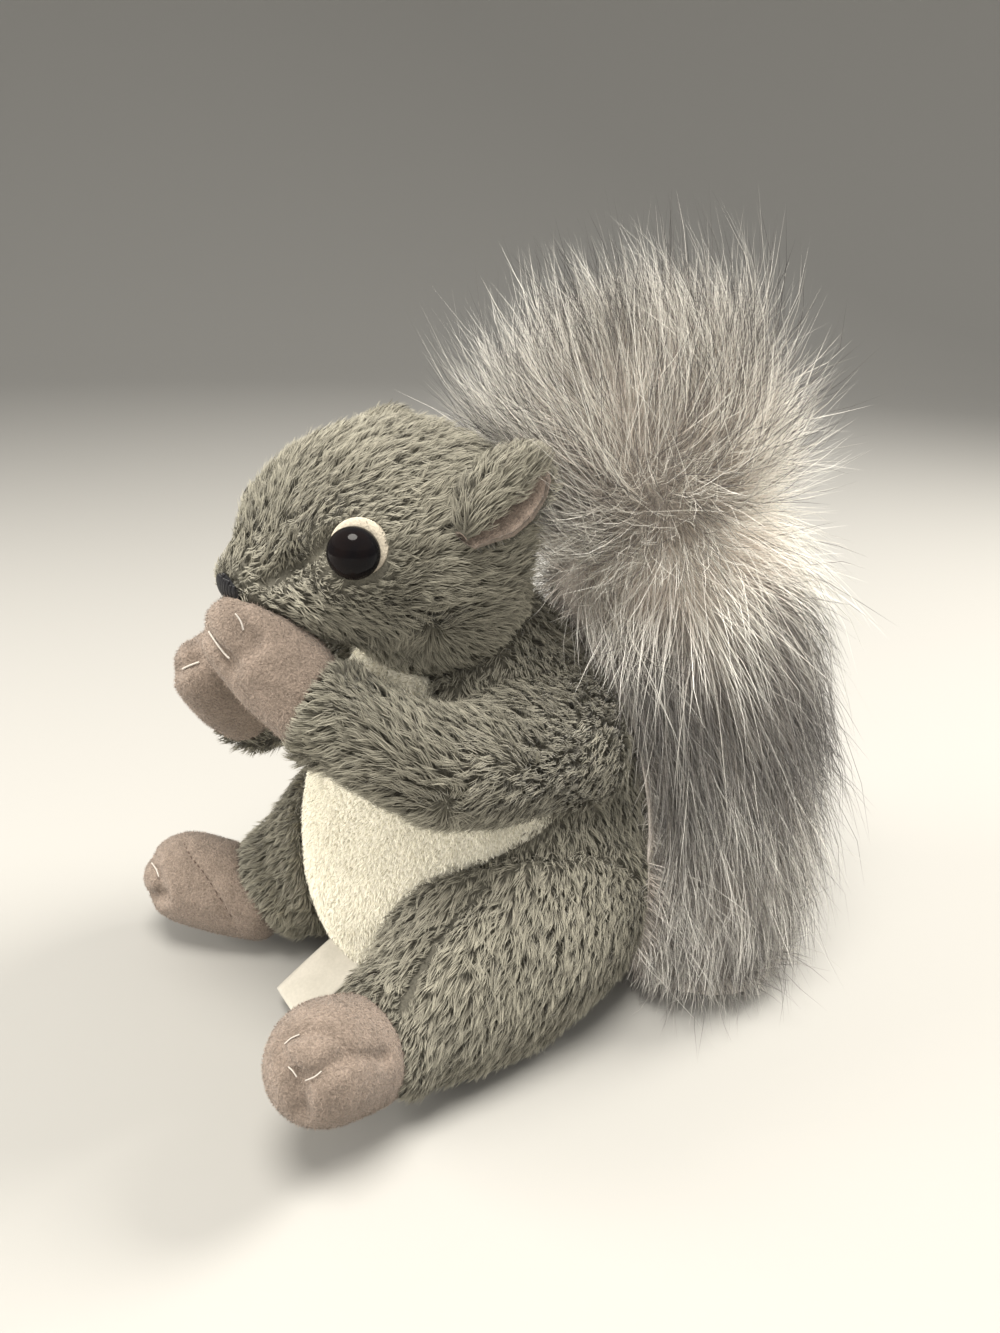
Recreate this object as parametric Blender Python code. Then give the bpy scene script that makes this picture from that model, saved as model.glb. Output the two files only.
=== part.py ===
"""A plush squirrel that sits up with both hands held to its mouth and a long-pile tail behind it.

The squirrel faces -Y, +Z is up, and its own left is +X. The origin is the middle of the flat that its
seat makes on the table. Each sewn and stuffed piece is one solid; the eyes are plastic studs held by
washers inside the head.
"""

import math

import bmesh
import bpy
import numpy as np
from mathutils import Matrix, Vector

mm = 0.001

# Clearance between pieces that are sewn or pressed together
GAP = 0.3 * mm

# Body, measured from the upright line below the neck
BODY_WIDTH = 72 * mm
BODY_FRONT = 33 * mm
BODY_BACK = 57 * mm
BODY_HEIGHT = 80 * mm

# Cream panel let into the chest and belly
PANEL_THICKNESS = 2.2 * mm
PANEL_WIDTH = 64 * mm
PANEL_HEIGHT = 76 * mm

# Head
HEAD_LENGTH = 54 * mm
HEAD_WIDTH = 53 * mm
HEAD_CROWN = 21 * mm
HEAD_JAW = 26 * mm
HEAD_OVERHANG = 47 * mm
HEAD_SINK = 11 * mm

# Ears
EAR_LENGTH = 17 * mm
EAR_WIDTH = 14 * mm
EAR_THICKNESS = 6 * mm
EAR_ROOT = 3 * mm
EAR_LINING_WIDTH = 9 * mm
EAR_LINING_THICKNESS = 1.2 * mm

# Eyes: a stud and the washer that locks it inside the head
EYE_DIAMETER = 9 * mm
EYE_BULGE = 3.4 * mm
EYE_RING_DIAMETER = 10.2 * mm
EYE_RING_THICKNESS = 1.0 * mm
EYE_RING_SHIFT = 0.7 * mm
SHANK_DIAMETER = 3.2 * mm
SHANK_LENGTH = 9 * mm
WASHER_DIAMETER = 9 * mm
WASHER_THICKNESS = 1.4 * mm
WASHER_DEPTH = 4.5 * mm

# Nose
NOSE_WIDTH = 6.5 * mm
NOSE_HEIGHT = 5.5 * mm
NOSE_BULGE = 2.2 * mm

# Arms and hands; the right arm hangs lower
SHOULDER_SPREAD = 22 * mm
SHOULDER_HEIGHT = 57 * mm
UPPER_ARM_DIAMETER = 28 * mm
ELBOW_SPREAD = 11 * mm
WRIST_SPREAD = 15 * mm
LEFT_WRIST_REACH = 37.5 * mm
RIGHT_WRIST_REACH = 38.5 * mm
WRIST_DIAMETER = 18.5 * mm
LEFT_WRIST_HEIGHT = 70.5 * mm
RIGHT_WRIST_HEIGHT = 60 * mm
LEFT_FINGER_REACH = 49.5 * mm
RIGHT_FINGER_REACH = 53.5 * mm
LEFT_FINGER_HEIGHT = 86 * mm
RIGHT_FINGER_HEIGHT = 78.5 * mm
FINGER_SPREAD = 4 * mm
HAND_LENGTH = 24.5 * mm
HAND_WIDTH = 16.5 * mm
HAND_THICKNESS = 13 * mm

# Legs and feet; the left knee falls further out, and its foot is turned up
LEG_LENGTH = 50 * mm
THIGH_HEIGHT = 45 * mm
THIGH_WIDTH = 31 * mm
HIP_SPREAD = 25 * mm
LEFT_KNEE_SPREAD = 31 * mm
RIGHT_KNEE_SPREAD = 20.5 * mm
ANKLE_DIAMETER = 21 * mm
FOOT_LENGTH = 29 * mm
FOOT_WIDTH = 20 * mm
FOOT_HEIGHT = 20.5 * mm
LEFT_FOOT_SPLAY = 30
LEFT_FOOT_LIFT = 33
RIGHT_FOOT_SPLAY = 46
RIGHT_FOOT_LIFT = 9

# Tail, the dense depth of its fur, swung to the left
TAIL_HEIGHT = 140 * mm
TAIL_DIAMETER = 66 * mm
TAIL_SWING = 17 * mm

# Sewn-in label, folded once
LABEL_LENGTH = 15 * mm
LABEL_WIDTH = 11 * mm
LABEL_THICKNESS = 0.6 * mm
LABEL_HEIGHT = 13 * mm
LABEL_SIDE = 5 * mm
LABEL_DROOP = 30

GREY_PLUSH = ("grey_plush", (0.235, 0.235, 0.205), 0.95, 0.0)
CREAM_PLUSH = ("cream_plush", (0.78, 0.74, 0.64), 0.9, 0.0)
SUEDE = ("pink_suede", (0.42, 0.33, 0.29), 0.95, 0.0)
TAIL_PILE = ("tail_pile", (0.36, 0.35, 0.33), 0.8, 0.0)
BLACK_PLASTIC = ("black_plastic", (0.008, 0.008, 0.009), 0.08, 0.0)
BLACK_THREAD = ("black_thread", (0.02, 0.02, 0.022), 0.6, 0.0)
CREAM_FELT = ("cream_felt", (0.66, 0.58, 0.48), 0.95, 0.0)
CLEAR_WASHER = ("washer_plastic", (0.75, 0.75, 0.72), 0.4, 0.0)
LABEL_CLOTH = ("label_cloth", (0.85, 0.84, 0.80), 0.7, 0.0)


def clear_scene():
    for old in list(bpy.data.objects):
        bpy.data.objects.remove(old)


def material(finish):
    name, colour, roughness, metallic = finish
    made = bpy.data.materials.get(name) or bpy.data.materials.new(name)
    made.use_nodes = True
    shader = made.node_tree.nodes["Principled BSDF"]
    shader.inputs["Base Color"].default_value = (*colour, 1.0)
    shader.inputs["Roughness"].default_value = roughness
    shader.inputs["Metallic"].default_value = metallic
    return made


def add_mesh(name, points, faces, finish=None, mirrored=False):
    """One object from points and faces; without a finish it is a cutter that no render shows."""
    if mirrored:
        points = [(-x, y, z) for x, y, z in points]
    mesh = bpy.data.meshes.new(name)
    mesh.from_pydata([tuple(p) for p in points], [], faces)
    shape = bmesh.new()
    shape.from_mesh(mesh)
    bmesh.ops.recalc_face_normals(shape, faces=shape.faces)
    shape.to_mesh(mesh)
    shape.free()
    made = bpy.data.objects.new(name, mesh)
    bpy.context.scene.collection.objects.link(made)
    if finish:
        mesh.materials.append(material(finish))
        mesh.shade_smooth()
    else:
        made.hide_render = True
        made.display_type = "WIRE"
    return made


def boolean(target, cutter, operation="DIFFERENCE"):
    step = target.modifiers.new(operation.lower() + "_" + cutter.name, "BOOLEAN")
    step.operation = operation
    step.solver = "EXACT"
    step.object = cutter


def between(before, start, end, after, t):
    """Catmull-Rom blend of four rows, at t from 0 at start to 1 at end."""
    return 0.5 * (
        2 * start
        + (end - before) * t
        + (2 * before - 5 * start + 4 * end - after) * t * t
        + (3 * start - before - 3 * end + after) * t**3
    )


def smooth_rows(rows, steps):
    """The rows with steps - 1 more between each two."""
    rows = np.array(rows, float)
    padded = np.vstack([2 * rows[0] - rows[1], rows, 2 * rows[-1] - rows[-2]])
    made = [
        between(*padded[i : i + 4], k / steps)
        for i in range(len(rows) - 1)
        for k in range(steps)
    ]
    return np.array([*made, rows[-1]])


class Form:
    """A stuffed piece: egg-shaped sections along a curved line, with a rounded cap at each end.

    A row is (x, y, z, half width, half size above, half size below). Width runs along side, and above
    is square to side and to the line.
    """

    def __init__(self, rows, side, caps, steps=3, around=24):
        self.rows = smooth_rows(rows, steps)
        self.side = Vector(side).normalized()
        self.caps = caps
        self.around = around

    def tangent(self, i):
        low, high = max(i - 1, 0), min(i + 1, len(self.rows) - 1)
        return Vector(self.rows[high][:3] - self.rows[low][:3]).normalized()

    def axes(self, i):
        line = self.tangent(i)
        side = (self.side - line * self.side.dot(line)).normalized()
        return line, side, side.cross(line)

    def offset(self, i, angle, grow, share=1.0):
        _, side, above = self.axes(i)
        width, high, low = (size + grow for size in self.rows[i][3:6])
        rise = high if math.sin(angle) > 0 else low
        return (side * width * math.cos(angle) + above * rise * math.sin(angle)) * share

    def ring(self, i, grow, share=1.0, ahead=0.0):
        centre = Vector(self.rows[i][:3]) + self.tangent(i) * ahead
        turns = [2 * math.pi * k / self.around for k in range(self.around)]
        return [centre + self.offset(i, turn, grow, share) for turn in turns]

    def cap_rings(self, i, bulge, grow, way):
        """Rings of a rounded end, from the widest outwards, and the point at its middle."""
        count = 4
        turns = [math.pi / 2 * k / count for k in range(1, count)]
        rings = [
            self.ring(i, grow, math.cos(turn), way * (bulge + grow) * math.sin(turn))
            for turn in turns
        ]
        tip = Vector(self.rows[i][:3]) + self.tangent(i) * way * (bulge + grow)
        return rings, tip

    def mesh(self, grow=0.0):
        last = len(self.rows) - 1
        first_cap, first_tip = self.cap_rings(0, self.caps[0], grow, -1)
        last_cap, last_tip = self.cap_rings(last, self.caps[1], grow, 1)
        rings = [*reversed(first_cap), *(self.ring(i, grow) for i in range(last + 1)), *last_cap]
        points = [first_tip, *(p for ring in rings for p in ring), last_tip]
        return points, tube_faces(len(rings), self.around)

    def surface(self, along, angle):
        """(point, outward direction) on the side at a share of the rows and an angle in degrees."""
        place = along * (len(self.rows) - 1)
        low = min(int(place), len(self.rows) - 2)
        turn, step = math.radians(angle), math.radians(4)

        def spot(i, at):
            return Vector(self.rows[i][:3]) + self.offset(i, at, 0)

        here = spot(low, turn).lerp(spot(low + 1, turn), place - low)
        across = spot(low, turn + step) - spot(low, turn - step)
        return here, (spot(low + 1, turn) - spot(low, turn)).cross(across).normalized()

    def add(self, name, finish=None, grow=0.0, mirrored=False):
        points, faces = self.mesh(grow)
        return add_mesh(name, points, faces, finish, mirrored)


def tube_faces(rings, around):
    """Faces of a tube of rings whose first and last points are the middles of its two ends."""
    faces = []
    for k in range(around):
        after = (k + 1) % around
        faces.append((0, 1 + after, 1 + k))
        for r in range(rings - 1):
            low, high = 1 + r * around, 1 + (r + 1) * around
            faces.append((low + k, low + after, high + after, high + k))
        top = 1 + (rings - 1) * around
        faces.append((top + k, top + after, 1 + rings * around))
    return faces


def turned(profile, place, outward, around=20):
    """Points and faces of a profile of (radius, height) turned about the line outward from place.

    The profile starts and ends on that line.
    """
    line = outward.normalized()
    side = line.orthogonal().normalized()
    other = line.cross(side)
    turns = [2 * math.pi * k / around for k in range(around)]
    rims = [
        place + line * height + (side * math.cos(turn) + other * math.sin(turn)) * radius
        for radius, height in profile[1:-1]
        for turn in turns
    ]
    points = [place + line * profile[0][1], *rims, place + line * profile[-1][1]]
    return points, tube_faces(len(profile) - 2, around)


def dome(diameter, bulge, count=6):
    """The profile of a dome from its rim to just short of its top."""
    turns = [math.pi / 2 * k / count for k in range(count)]
    return [(diameter / 2 * math.cos(turn), bulge * math.sin(turn)) for turn in turns]


def block(name, low, high):
    """A cutter with its lowest and highest corners."""
    points = [
        (low[0] if x < 0 else high[0], low[1] if y < 0 else high[1], low[2] if z < 0 else high[2])
        for x in (-1, 1)
        for y in (-1, 1)
        for z in (-1, 1)
    ]
    faces = [(0, 1, 3, 2), (4, 6, 7, 5), (0, 4, 5, 1), (2, 3, 7, 6), (0, 2, 6, 4), (1, 5, 7, 3)]
    return add_mesh(name, points, faces)


def body_form():
    """Rows go up from the seat; the half size above is the front, the one below is the back."""
    wide, front, back, high = BODY_WIDTH / 2, BODY_FRONT, BODY_BACK, BODY_HEIGHT
    shares = (
        (0.00, 0.84, 0.66, 0.80),
        (0.04, 0.92, 0.78, 0.88),
        (0.13, 0.98, 0.90, 0.95),
        (0.30, 1.00, 1.00, 1.00),
        (0.52, 0.94, 0.95, 0.92),
        (0.72, 0.80, 0.79, 0.68),
        (0.90, 0.60, 0.56, 0.43),
        (1.00, 0.44, 0.40, 0.28),
    )
    rows = [(0, 0, up * high, w * wide, f * front, b * back) for up, w, f, b in shares]
    return Form(rows, (1, 0, 0), (0, 0.05 * BODY_HEIGHT), steps=2, around=28)


def head_form():
    """Rows go back from the snout to the nape."""
    wide = HEAD_WIDTH / 2
    front, middle = -HEAD_OVERHANG, BODY_HEIGHT + HEAD_JAW - HEAD_SINK
    shares = (
        (0.07, 0.36, 0.40, 0.24, -0.28),
        (0.18, 0.62, 0.68, 0.46, -0.20),
        (0.34, 0.84, 0.90, 0.72, -0.09),
        (0.54, 0.98, 1.00, 0.96, -0.01),
        (0.74, 1.00, 0.97, 1.00, 0.00),
        (0.88, 0.84, 0.80, 0.84, 0.00),
    )
    rows = [
        (0, front + s * HEAD_LENGTH, middle + rise * HEAD_CROWN, w * wide, u * HEAD_CROWN, d * HEAD_JAW)
        for s, w, u, d, rise in shares
    ]
    caps = (0.07 * HEAD_LENGTH, 0.12 * HEAD_LENGTH)
    return Form(rows, (1, 0, 0), caps, steps=2, around=28)


def leg_form(knee_spread):
    """Rows go forwards from the hip over the raised knee to the ankle."""
    high, wide, ankle = THIGH_HEIGHT / 2, THIGH_WIDTH / 2, ANKLE_DIAMETER / 2
    hip = 0.28 * LEG_LENGTH
    shares = (
        (0.00, 0.0, 0.84, 0.80),
        (0.26, 0.5, 1.00, 1.00),
        (0.54, 0.8, 0.97, 0.98),
        (0.80, 1.0, 0.78, 0.86),
    )
    rows = [
        (
            HIP_SPREAD + out * (knee_spread - HIP_SPREAD),
            hip - s * LEG_LENGTH,
            0.94 * u * high,
            w * wide,
            u * high,
            u * high,
        )
        for s, out, u, w in shares
    ]
    end = (knee_spread, hip - LEG_LENGTH, 1.06 * ankle, ankle, ankle, ankle)
    return Form([*rows, end], (1, 0, 0), (0.4 * high, 0.2 * ankle), steps=2)


def foot_form(leg, splay, lift):
    """Rows go from inside the ankle to the toes."""
    start = Vector(leg.rows[-1][:3])
    turn, rise = math.radians(splay), math.radians(lift)
    level = math.cos(rise)
    ahead = Vector((math.sin(turn) * level, -math.cos(turn) * level, math.sin(rise)))
    side = Vector((math.cos(turn), math.sin(turn), 0))
    high, wide = FOOT_HEIGHT / 2, FOOT_WIDTH / 2
    shares = ((0.0, 0.84, 0.90), (0.30, 0.97, 0.98), (0.62, 1.0, 1.0))
    rows = [
        (*(start + ahead * s * FOOT_LENGTH), w * wide, u * high, u * high)
        for s, w, u in shares
    ]
    return Form(rows, side, (0.4 * high, 0.36 * FOOT_LENGTH), steps=2)


def arm_form(wrist_reach, wrist_height):
    """Rows go forwards from the shoulder round the elbow to the wrist."""
    shoulder = Vector((SHOULDER_SPREAD, 0.17 * BODY_BACK, SHOULDER_HEIGHT))
    wrist = Vector((WRIST_SPREAD, -wrist_reach, wrist_height))
    upper, cuff = UPPER_ARM_DIAMETER / 2, WRIST_DIAMETER / 2
    shares = ((0.00, 0.0, 0.0, 0.98), (0.33, 0.70, -0.10, 0.84), (0.66, 1.00, -0.42, 0.80))
    rows = []
    for s, out, down, r in shares:
        x, y, z = shoulder.lerp(wrist, s)
        rows.append((x + out * ELBOW_SPREAD, y, z + down * ELBOW_SPREAD, *[r * upper] * 3))
    return Form([*rows, (*wrist, cuff, cuff, cuff)], (1, 0, 0), (0.5 * upper, 0.2 * cuff), steps=2)


def hand_form(arm, finger_reach, finger_height):
    """Rows go from inside the cuff to the fingertips, where both hands meet before the mouth."""
    start = Vector(arm.rows[-1][:3])
    meeting = Vector((FINGER_SPREAD, -finger_reach, finger_height))
    ahead = (meeting - start).normalized()
    wide, thick = HAND_WIDTH / 2, HAND_THICKNESS / 2
    shares = ((0.0, 0.94, 0.95), (0.34, 1.02, 1.0), (0.68, 0.90, 0.94))
    rows = [
        (*(start + ahead * s * HAND_LENGTH), w * wide, u * thick, u * thick)
        for s, w, u in shares
    ]
    return Form(rows, (0.27, 0.79, 0.55), (0.4 * wide, 0.32 * HAND_LENGTH), steps=2)


def tail_form():
    """Rows go up the tail, over the crease where it is folded, to the top that leans over the head."""
    wide, back = TAIL_DIAMETER / 2, BODY_BACK
    shares = (
        (0.00, 1.75, 0.66, 0.66),
        (0.07, 1.68, 0.70, 0.82),
        (0.20, 1.40, 0.80, 0.90),
        (0.38, 1.00, 0.83, 0.92),
        (0.55, 0.80, 0.77, 0.96),
        (0.65, 0.70, 0.70, 0.83),
        (0.77, 0.58, 0.59, 1.02),
        (0.89, 0.46, 0.48, 0.90),
    )
    rows = [
        (swing * TAIL_SWING, y * back, s * TAIL_HEIGHT, w * wide, w * wide, w * wide)
        for s, swing, y, w in shares
    ]
    caps = (0.03 * TAIL_HEIGHT, 0.11 * TAIL_HEIGHT)
    return Form(rows, (1, 0, 0), caps, steps=2, around=26)


def nose_form():
    """A small pad on the tip of the snout, mostly inside it until the head is cut away."""
    tip, middle = 0.98 * HEAD_OVERHANG, BODY_HEIGHT + 0.33 * HEAD_JAW
    rows = [
        (0, back * NOSE_BULGE - tip, middle, w * NOSE_WIDTH / 2, w * NOSE_HEIGHT / 2, w * NOSE_HEIGHT / 2)
        for back, w in ((0.0, 0.9), (1.5, 1.0), (3.0, 0.9))
    ]
    return Form(rows, (1, 0, 0), (NOSE_BULGE, NOSE_BULGE), steps=2, around=16)


def ear_form(head):
    """Rows go up and back from inside the head to the rounded tip."""
    base, _ = head.surface(0.73, 24)
    ahead = Vector((-0.12, 0.88, 0.46)).normalized()
    start = base - ahead * EAR_ROOT
    long, wide, thick = EAR_LENGTH + EAR_ROOT, EAR_WIDTH / 2, EAR_THICKNESS / 2
    shares = ((0.0, 0.86, 1.0), (0.35, 1.0, 1.0), (0.68, 0.88, 0.8))
    rows = [(*(start + ahead * s * long), w * wide, u * thick, u * thick) for s, w, u in shares]
    return Form(rows, (0, 0.57, -0.82), (0.2 * long, 0.32 * long), steps=2, around=18)


def ear_lining_form(ear):
    """A thin leaf let into the outer face of the ear, at its rear half."""
    along, side, above = ear.axes(len(ear.rows) // 2)
    face = above if above.x > 0 else -above
    shift = face * (EAR_THICKNESS / 2) + side * (EAR_WIDTH / 2 - EAR_LINING_WIDTH / 2)
    wide, thick = EAR_LINING_WIDTH / 2, EAR_LINING_THICKNESS / 2
    rows = [
        (*(Vector(ear.rows[i][:3]) + shift), w * wide, thick, thick)
        for i, w in ((2, 0.8), (3, 0.95), (4, 0.9))
    ]
    return Form(rows, ear.side, (0.5 * wide, 0.9 * wide), steps=1, around=16)


def add_eye(name, head, ring_way, mirrored):
    """The stud with its shank, its felt ring, its washer, and the rooms that they take in the head."""
    spot, outward = head.surface(0.325, 15)
    ring_spot = spot + ring_way * EYE_RING_SHIFT
    shank, washer = SHANK_DIAMETER / 2, WASHER_DIAMETER / 2
    front = EYE_RING_THICKNESS / 2 + GAP
    stud = [(0, -SHANK_LENGTH), (shank, -SHANK_LENGTH), (shank, front)]
    stud += [(r, front + h) for r, h in dome(EYE_DIAMETER, EYE_BULGE)]
    stud.append((0, front + EYE_BULGE))
    add_mesh(name + "_eye", *turned(stud, spot, outward), BLACK_PLASTIC, mirrored)

    half, rim = EYE_RING_THICKNESS / 2, EYE_RING_DIAMETER / 2
    disc = [(0, -half), (rim, -half), (rim, half), (0, half)]
    ring = add_mesh(name + "_eye_ring", *turned(disc, ring_spot, outward), CREAM_FELT, mirrored)
    ring_room = [(0, -half - GAP), (rim + GAP, -half - GAP), (rim + GAP, 3 * rim), (0, 3 * rim)]

    back = -WASHER_DEPTH - WASHER_THICKNESS
    plate = [(0, back), (washer, back), (washer, -WASHER_DEPTH), (0, -WASHER_DEPTH)]
    lock = add_mesh(name + "_eye_washer", *turned(plate, spot, outward), CLEAR_WASHER, mirrored)

    bore, deep, long = shank + GAP, -SHANK_LENGTH - GAP, 2 * SHANK_LENGTH
    bore_profile = [(0, -long), (bore, -long), (bore, long), (0, long)]
    bore_room = add_mesh(name + "_bore_room", *turned(bore_profile, spot, outward), mirrored=mirrored)
    boolean(ring, bore_room)
    boolean(lock, bore_room)
    pocket, lid = washer + GAP, -WASHER_DEPTH + GAP
    stud_room = [(0, deep), (pocket, deep), (pocket, lid), (bore, lid), (bore, front), (0, front)]
    return [
        add_mesh(name + "_ring_room", *turned(ring_room, ring_spot, outward), mirrored=mirrored),
        add_mesh(name + "_stud_room", *turned(stud_room, spot, outward), mirrored=mirrored),
    ]


def add_panel(body):
    """The cream panel, as thick as its plush and flush with the body, and the room that it takes."""
    half, top = PANEL_WIDTH / 2, PANEL_HEIGHT
    outline = (
        (0.00, 0.06),
        (0.30, 0.12),
        (0.62, 0.34),
        (1.00, 0.58),
        (1.00, 0.70),
        (0.60, 0.82),
        (0.30, 1.00),
    )
    right = [(x * half, z * top) for x, z in outline]
    ring = right + [(-x, z) for x, z in reversed(right[1:])]
    centre = Vector((0, sum(z for _, z in ring) / len(ring)))
    made = []
    for name, grow, finish in (("belly_panel", 0, CREAM_PLUSH), ("panel_room", GAP, None)):
        wider = [Vector(p) + (Vector(p) - centre).normalized() * grow for p in ring]
        count = len(wider)
        points = [(x, y, z) for y in (-2 * BODY_FRONT, grow) for x, z in wider]
        sides = [(k, (k + 1) % count, count + (k + 1) % count, count + k) for k in range(count)]
        faces = [tuple(range(count)), tuple(range(2 * count - 1, count - 1, -1)), *sides]
        made.append(add_mesh(name, points, faces, finish))
    panel, room = made
    boolean(panel, body.add("body_outside"), "INTERSECT")
    boolean(panel, body.add("panel_back", grow=-PANEL_THICKNESS))
    boolean(room, body.add("room_back", grow=-PANEL_THICKNESS - GAP))
    return panel, room


def add_label(body):
    """A bare folded tape that hangs out of the seam between the legs."""
    droop = math.radians(LABEL_DROOP)
    ahead = Vector((0, -math.cos(droop), -math.sin(droop)))
    above = Vector((0, -math.sin(droop), math.cos(droop)))
    root = Vector((LABEL_SIDE, -0.8 * BODY_FRONT, LABEL_HEIGHT))
    across = Vector((LABEL_WIDTH / 2, 0, 0))
    points = [
        root + across * x + ahead * y * LABEL_LENGTH + above * z * LABEL_THICKNESS / 2
        for x in (-1, 1)
        for y in (0, 1.2)
        for z in (-1, 1)
    ]
    faces = [(0, 1, 3, 2), (4, 6, 7, 5), (0, 4, 5, 1), (2, 3, 7, 6), (0, 2, 6, 4), (1, 5, 7, 3)]
    return add_mesh("label", points, faces, LABEL_CLOTH)


def build():
    clear_scene()
    body, head, tail, ear = body_form(), head_form(), tail_form(), ear_form(head_form())
    lining = ear_lining_form(ear)
    far = 2 * TAIL_HEIGHT
    floor = block("table", (-far, -far, -far), (far, far, 0))
    body_room = body.add("body_room", grow=GAP)
    head_room = head.add("head_room", grow=GAP)

    body_made = body.add("body", GREY_PLUSH)
    boolean(body_made, head_room)
    panel, panel_room = add_panel(body)
    boolean(panel, head_room)
    boolean(body_made, panel_room)

    nose = nose_form()
    boolean(nose.add("nose", BLACK_THREAD), head_room)
    nose_room = nose.add("nose_room", grow=GAP)

    head_made = head.add("head", GREY_PLUSH)
    tail_made = tail.add("tail", TAIL_PILE)
    for cutter in (body_room, head_room, floor):
        boolean(tail_made, cutter)
    boolean(add_label(body), body_room)

    left_leg = (LEFT_KNEE_SPREAD, LEFT_FOOT_SPLAY, LEFT_FOOT_LIFT)
    right_leg = (RIGHT_KNEE_SPREAD, RIGHT_FOOT_SPLAY, RIGHT_FOOT_LIFT)
    left_arm = (LEFT_WRIST_REACH, LEFT_WRIST_HEIGHT, LEFT_FINGER_REACH, LEFT_FINGER_HEIGHT)
    right_arm = (RIGHT_WRIST_REACH, RIGHT_WRIST_HEIGHT, RIGHT_FINGER_REACH, RIGHT_FINGER_HEIGHT)
    poses = {"left": (*left_leg, *left_arm), "right": (*right_leg, *right_arm)}
    for side, pose in poses.items():
        mirrored = side == "right"
        knee_spread, splay, lift, reach, wrist_height, finger_reach, finger_height = pose
        for room in add_eye(side, head, Vector((0, 0.62, 0.78)), mirrored):
            boolean(head_made, room)

        ear_made = ear.add(side + "_ear", GREY_PLUSH, mirrored=mirrored)
        boolean(ear_made, head_room)
        lining_made = lining.add(side + "_ear_lining", SUEDE, mirrored=mirrored)
        boolean(lining_made, head_room)
        lining_room = lining.add(side + "_lining_room", grow=GAP, mirrored=mirrored)
        boolean(ear_made, lining_room)
        boolean(tail_made, lining_room)
        boolean(tail_made, ear.add(side + "_ear_room", grow=GAP, mirrored=mirrored))

        arm = arm_form(reach, wrist_height)
        arm_made = arm.add(side + "_arm", GREY_PLUSH, mirrored=mirrored)
        arm_room = arm.add(side + "_arm_room", grow=GAP, mirrored=mirrored)
        leg = leg_form(knee_spread)
        leg_made = leg.add(side + "_leg", GREY_PLUSH, mirrored=mirrored)
        leg_room = leg.add(side + "_leg_room", grow=GAP, mirrored=mirrored)
        boolean(leg_made, body_room)
        boolean(leg_made, floor)
        boolean(tail_made, leg_room)
        boolean(tail_made, arm_room)
        foot_made = foot_form(leg, splay, lift).add(side + "_foot", SUEDE, mirrored=mirrored)
        boolean(foot_made, leg_room)
        boolean(foot_made, floor)

        boolean(arm_made, body_room)
        boolean(arm_made, head_room)
        hand_made = hand_form(arm, finger_reach, finger_height).add(side + "_hand", SUEDE, mirrored=mirrored)
        way = -1 if mirrored else 1
        low, high = sorted((-way * far, way * GAP / 2))
        other_side = block(side + "_hand_limit", (low, -far, -far), (high, far, far))
        for cutter in (arm_room, head_room, nose_room, other_side):
            boolean(hand_made, cutter)


build()
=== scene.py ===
# %% [markdown]
# # A plush squirrel, dressed in its pile
# The toy sits up with both hands at its mouth, and a tail of long hair stands behind it. The packed
# model gives every piece its real size and place. This lesson sews a cloth over each piece, grows the
# pile on it fibre by fibre, and adds the eyes, the stitches and the tape.

# %% Load the model and keep its box
import math

import bpy
import numpy as np
from mathutils import Matrix, Vector
from mathutils.bvhtree import BVHTree
from mathutils.kdtree import KDTree


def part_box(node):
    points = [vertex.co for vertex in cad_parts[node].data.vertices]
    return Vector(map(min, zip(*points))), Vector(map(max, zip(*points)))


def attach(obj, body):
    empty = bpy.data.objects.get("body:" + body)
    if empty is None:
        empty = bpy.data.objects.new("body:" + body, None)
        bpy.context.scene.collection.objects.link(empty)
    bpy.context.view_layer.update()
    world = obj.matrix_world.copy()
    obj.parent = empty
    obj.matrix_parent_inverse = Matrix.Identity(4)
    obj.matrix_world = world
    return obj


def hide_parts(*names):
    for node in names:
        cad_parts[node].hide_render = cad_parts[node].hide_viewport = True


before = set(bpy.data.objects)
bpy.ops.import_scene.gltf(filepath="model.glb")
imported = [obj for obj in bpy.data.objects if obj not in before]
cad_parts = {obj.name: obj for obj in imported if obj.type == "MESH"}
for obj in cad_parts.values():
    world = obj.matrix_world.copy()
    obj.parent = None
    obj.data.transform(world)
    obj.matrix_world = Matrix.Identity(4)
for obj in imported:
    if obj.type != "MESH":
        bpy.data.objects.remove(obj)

MM = 0.001
scene = bpy.context.scene
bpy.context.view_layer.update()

# %% [markdown]
# ## The camera
# A photograph of a toy on a table is taken from close by, so its near hand looks large and its tail
# looks small. A camera with the same turn, tilt and distance gives the same picture. Its lens is worked
# out from the focal length in pixels, because that is what a picture can be measured for.

# %% Set up the camera
IMAGE_WIDTH, IMAGE_HEIGHT = 1000, 1333
FOCAL_PIXELS = 1001
SENSOR = 36
AZIMUTH, ELEVATION, ROLL = math.radians(56), math.radians(22), math.radians(1.8)
CAMERA_SPOT = Vector((156, -97, 140)) * MM

FORWARD = Vector((
    -math.sin(AZIMUTH) * math.cos(ELEVATION),
    math.cos(AZIMUTH) * math.cos(ELEVATION),
    -math.sin(ELEVATION),
))
level = Vector((math.cos(AZIMUTH), math.sin(AZIMUTH), 0))
upright = level.cross(FORWARD)
RIGHT = level * math.cos(ROLL) + upright * math.sin(ROLL)
UP = upright * math.cos(ROLL) - level * math.sin(ROLL)


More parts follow.
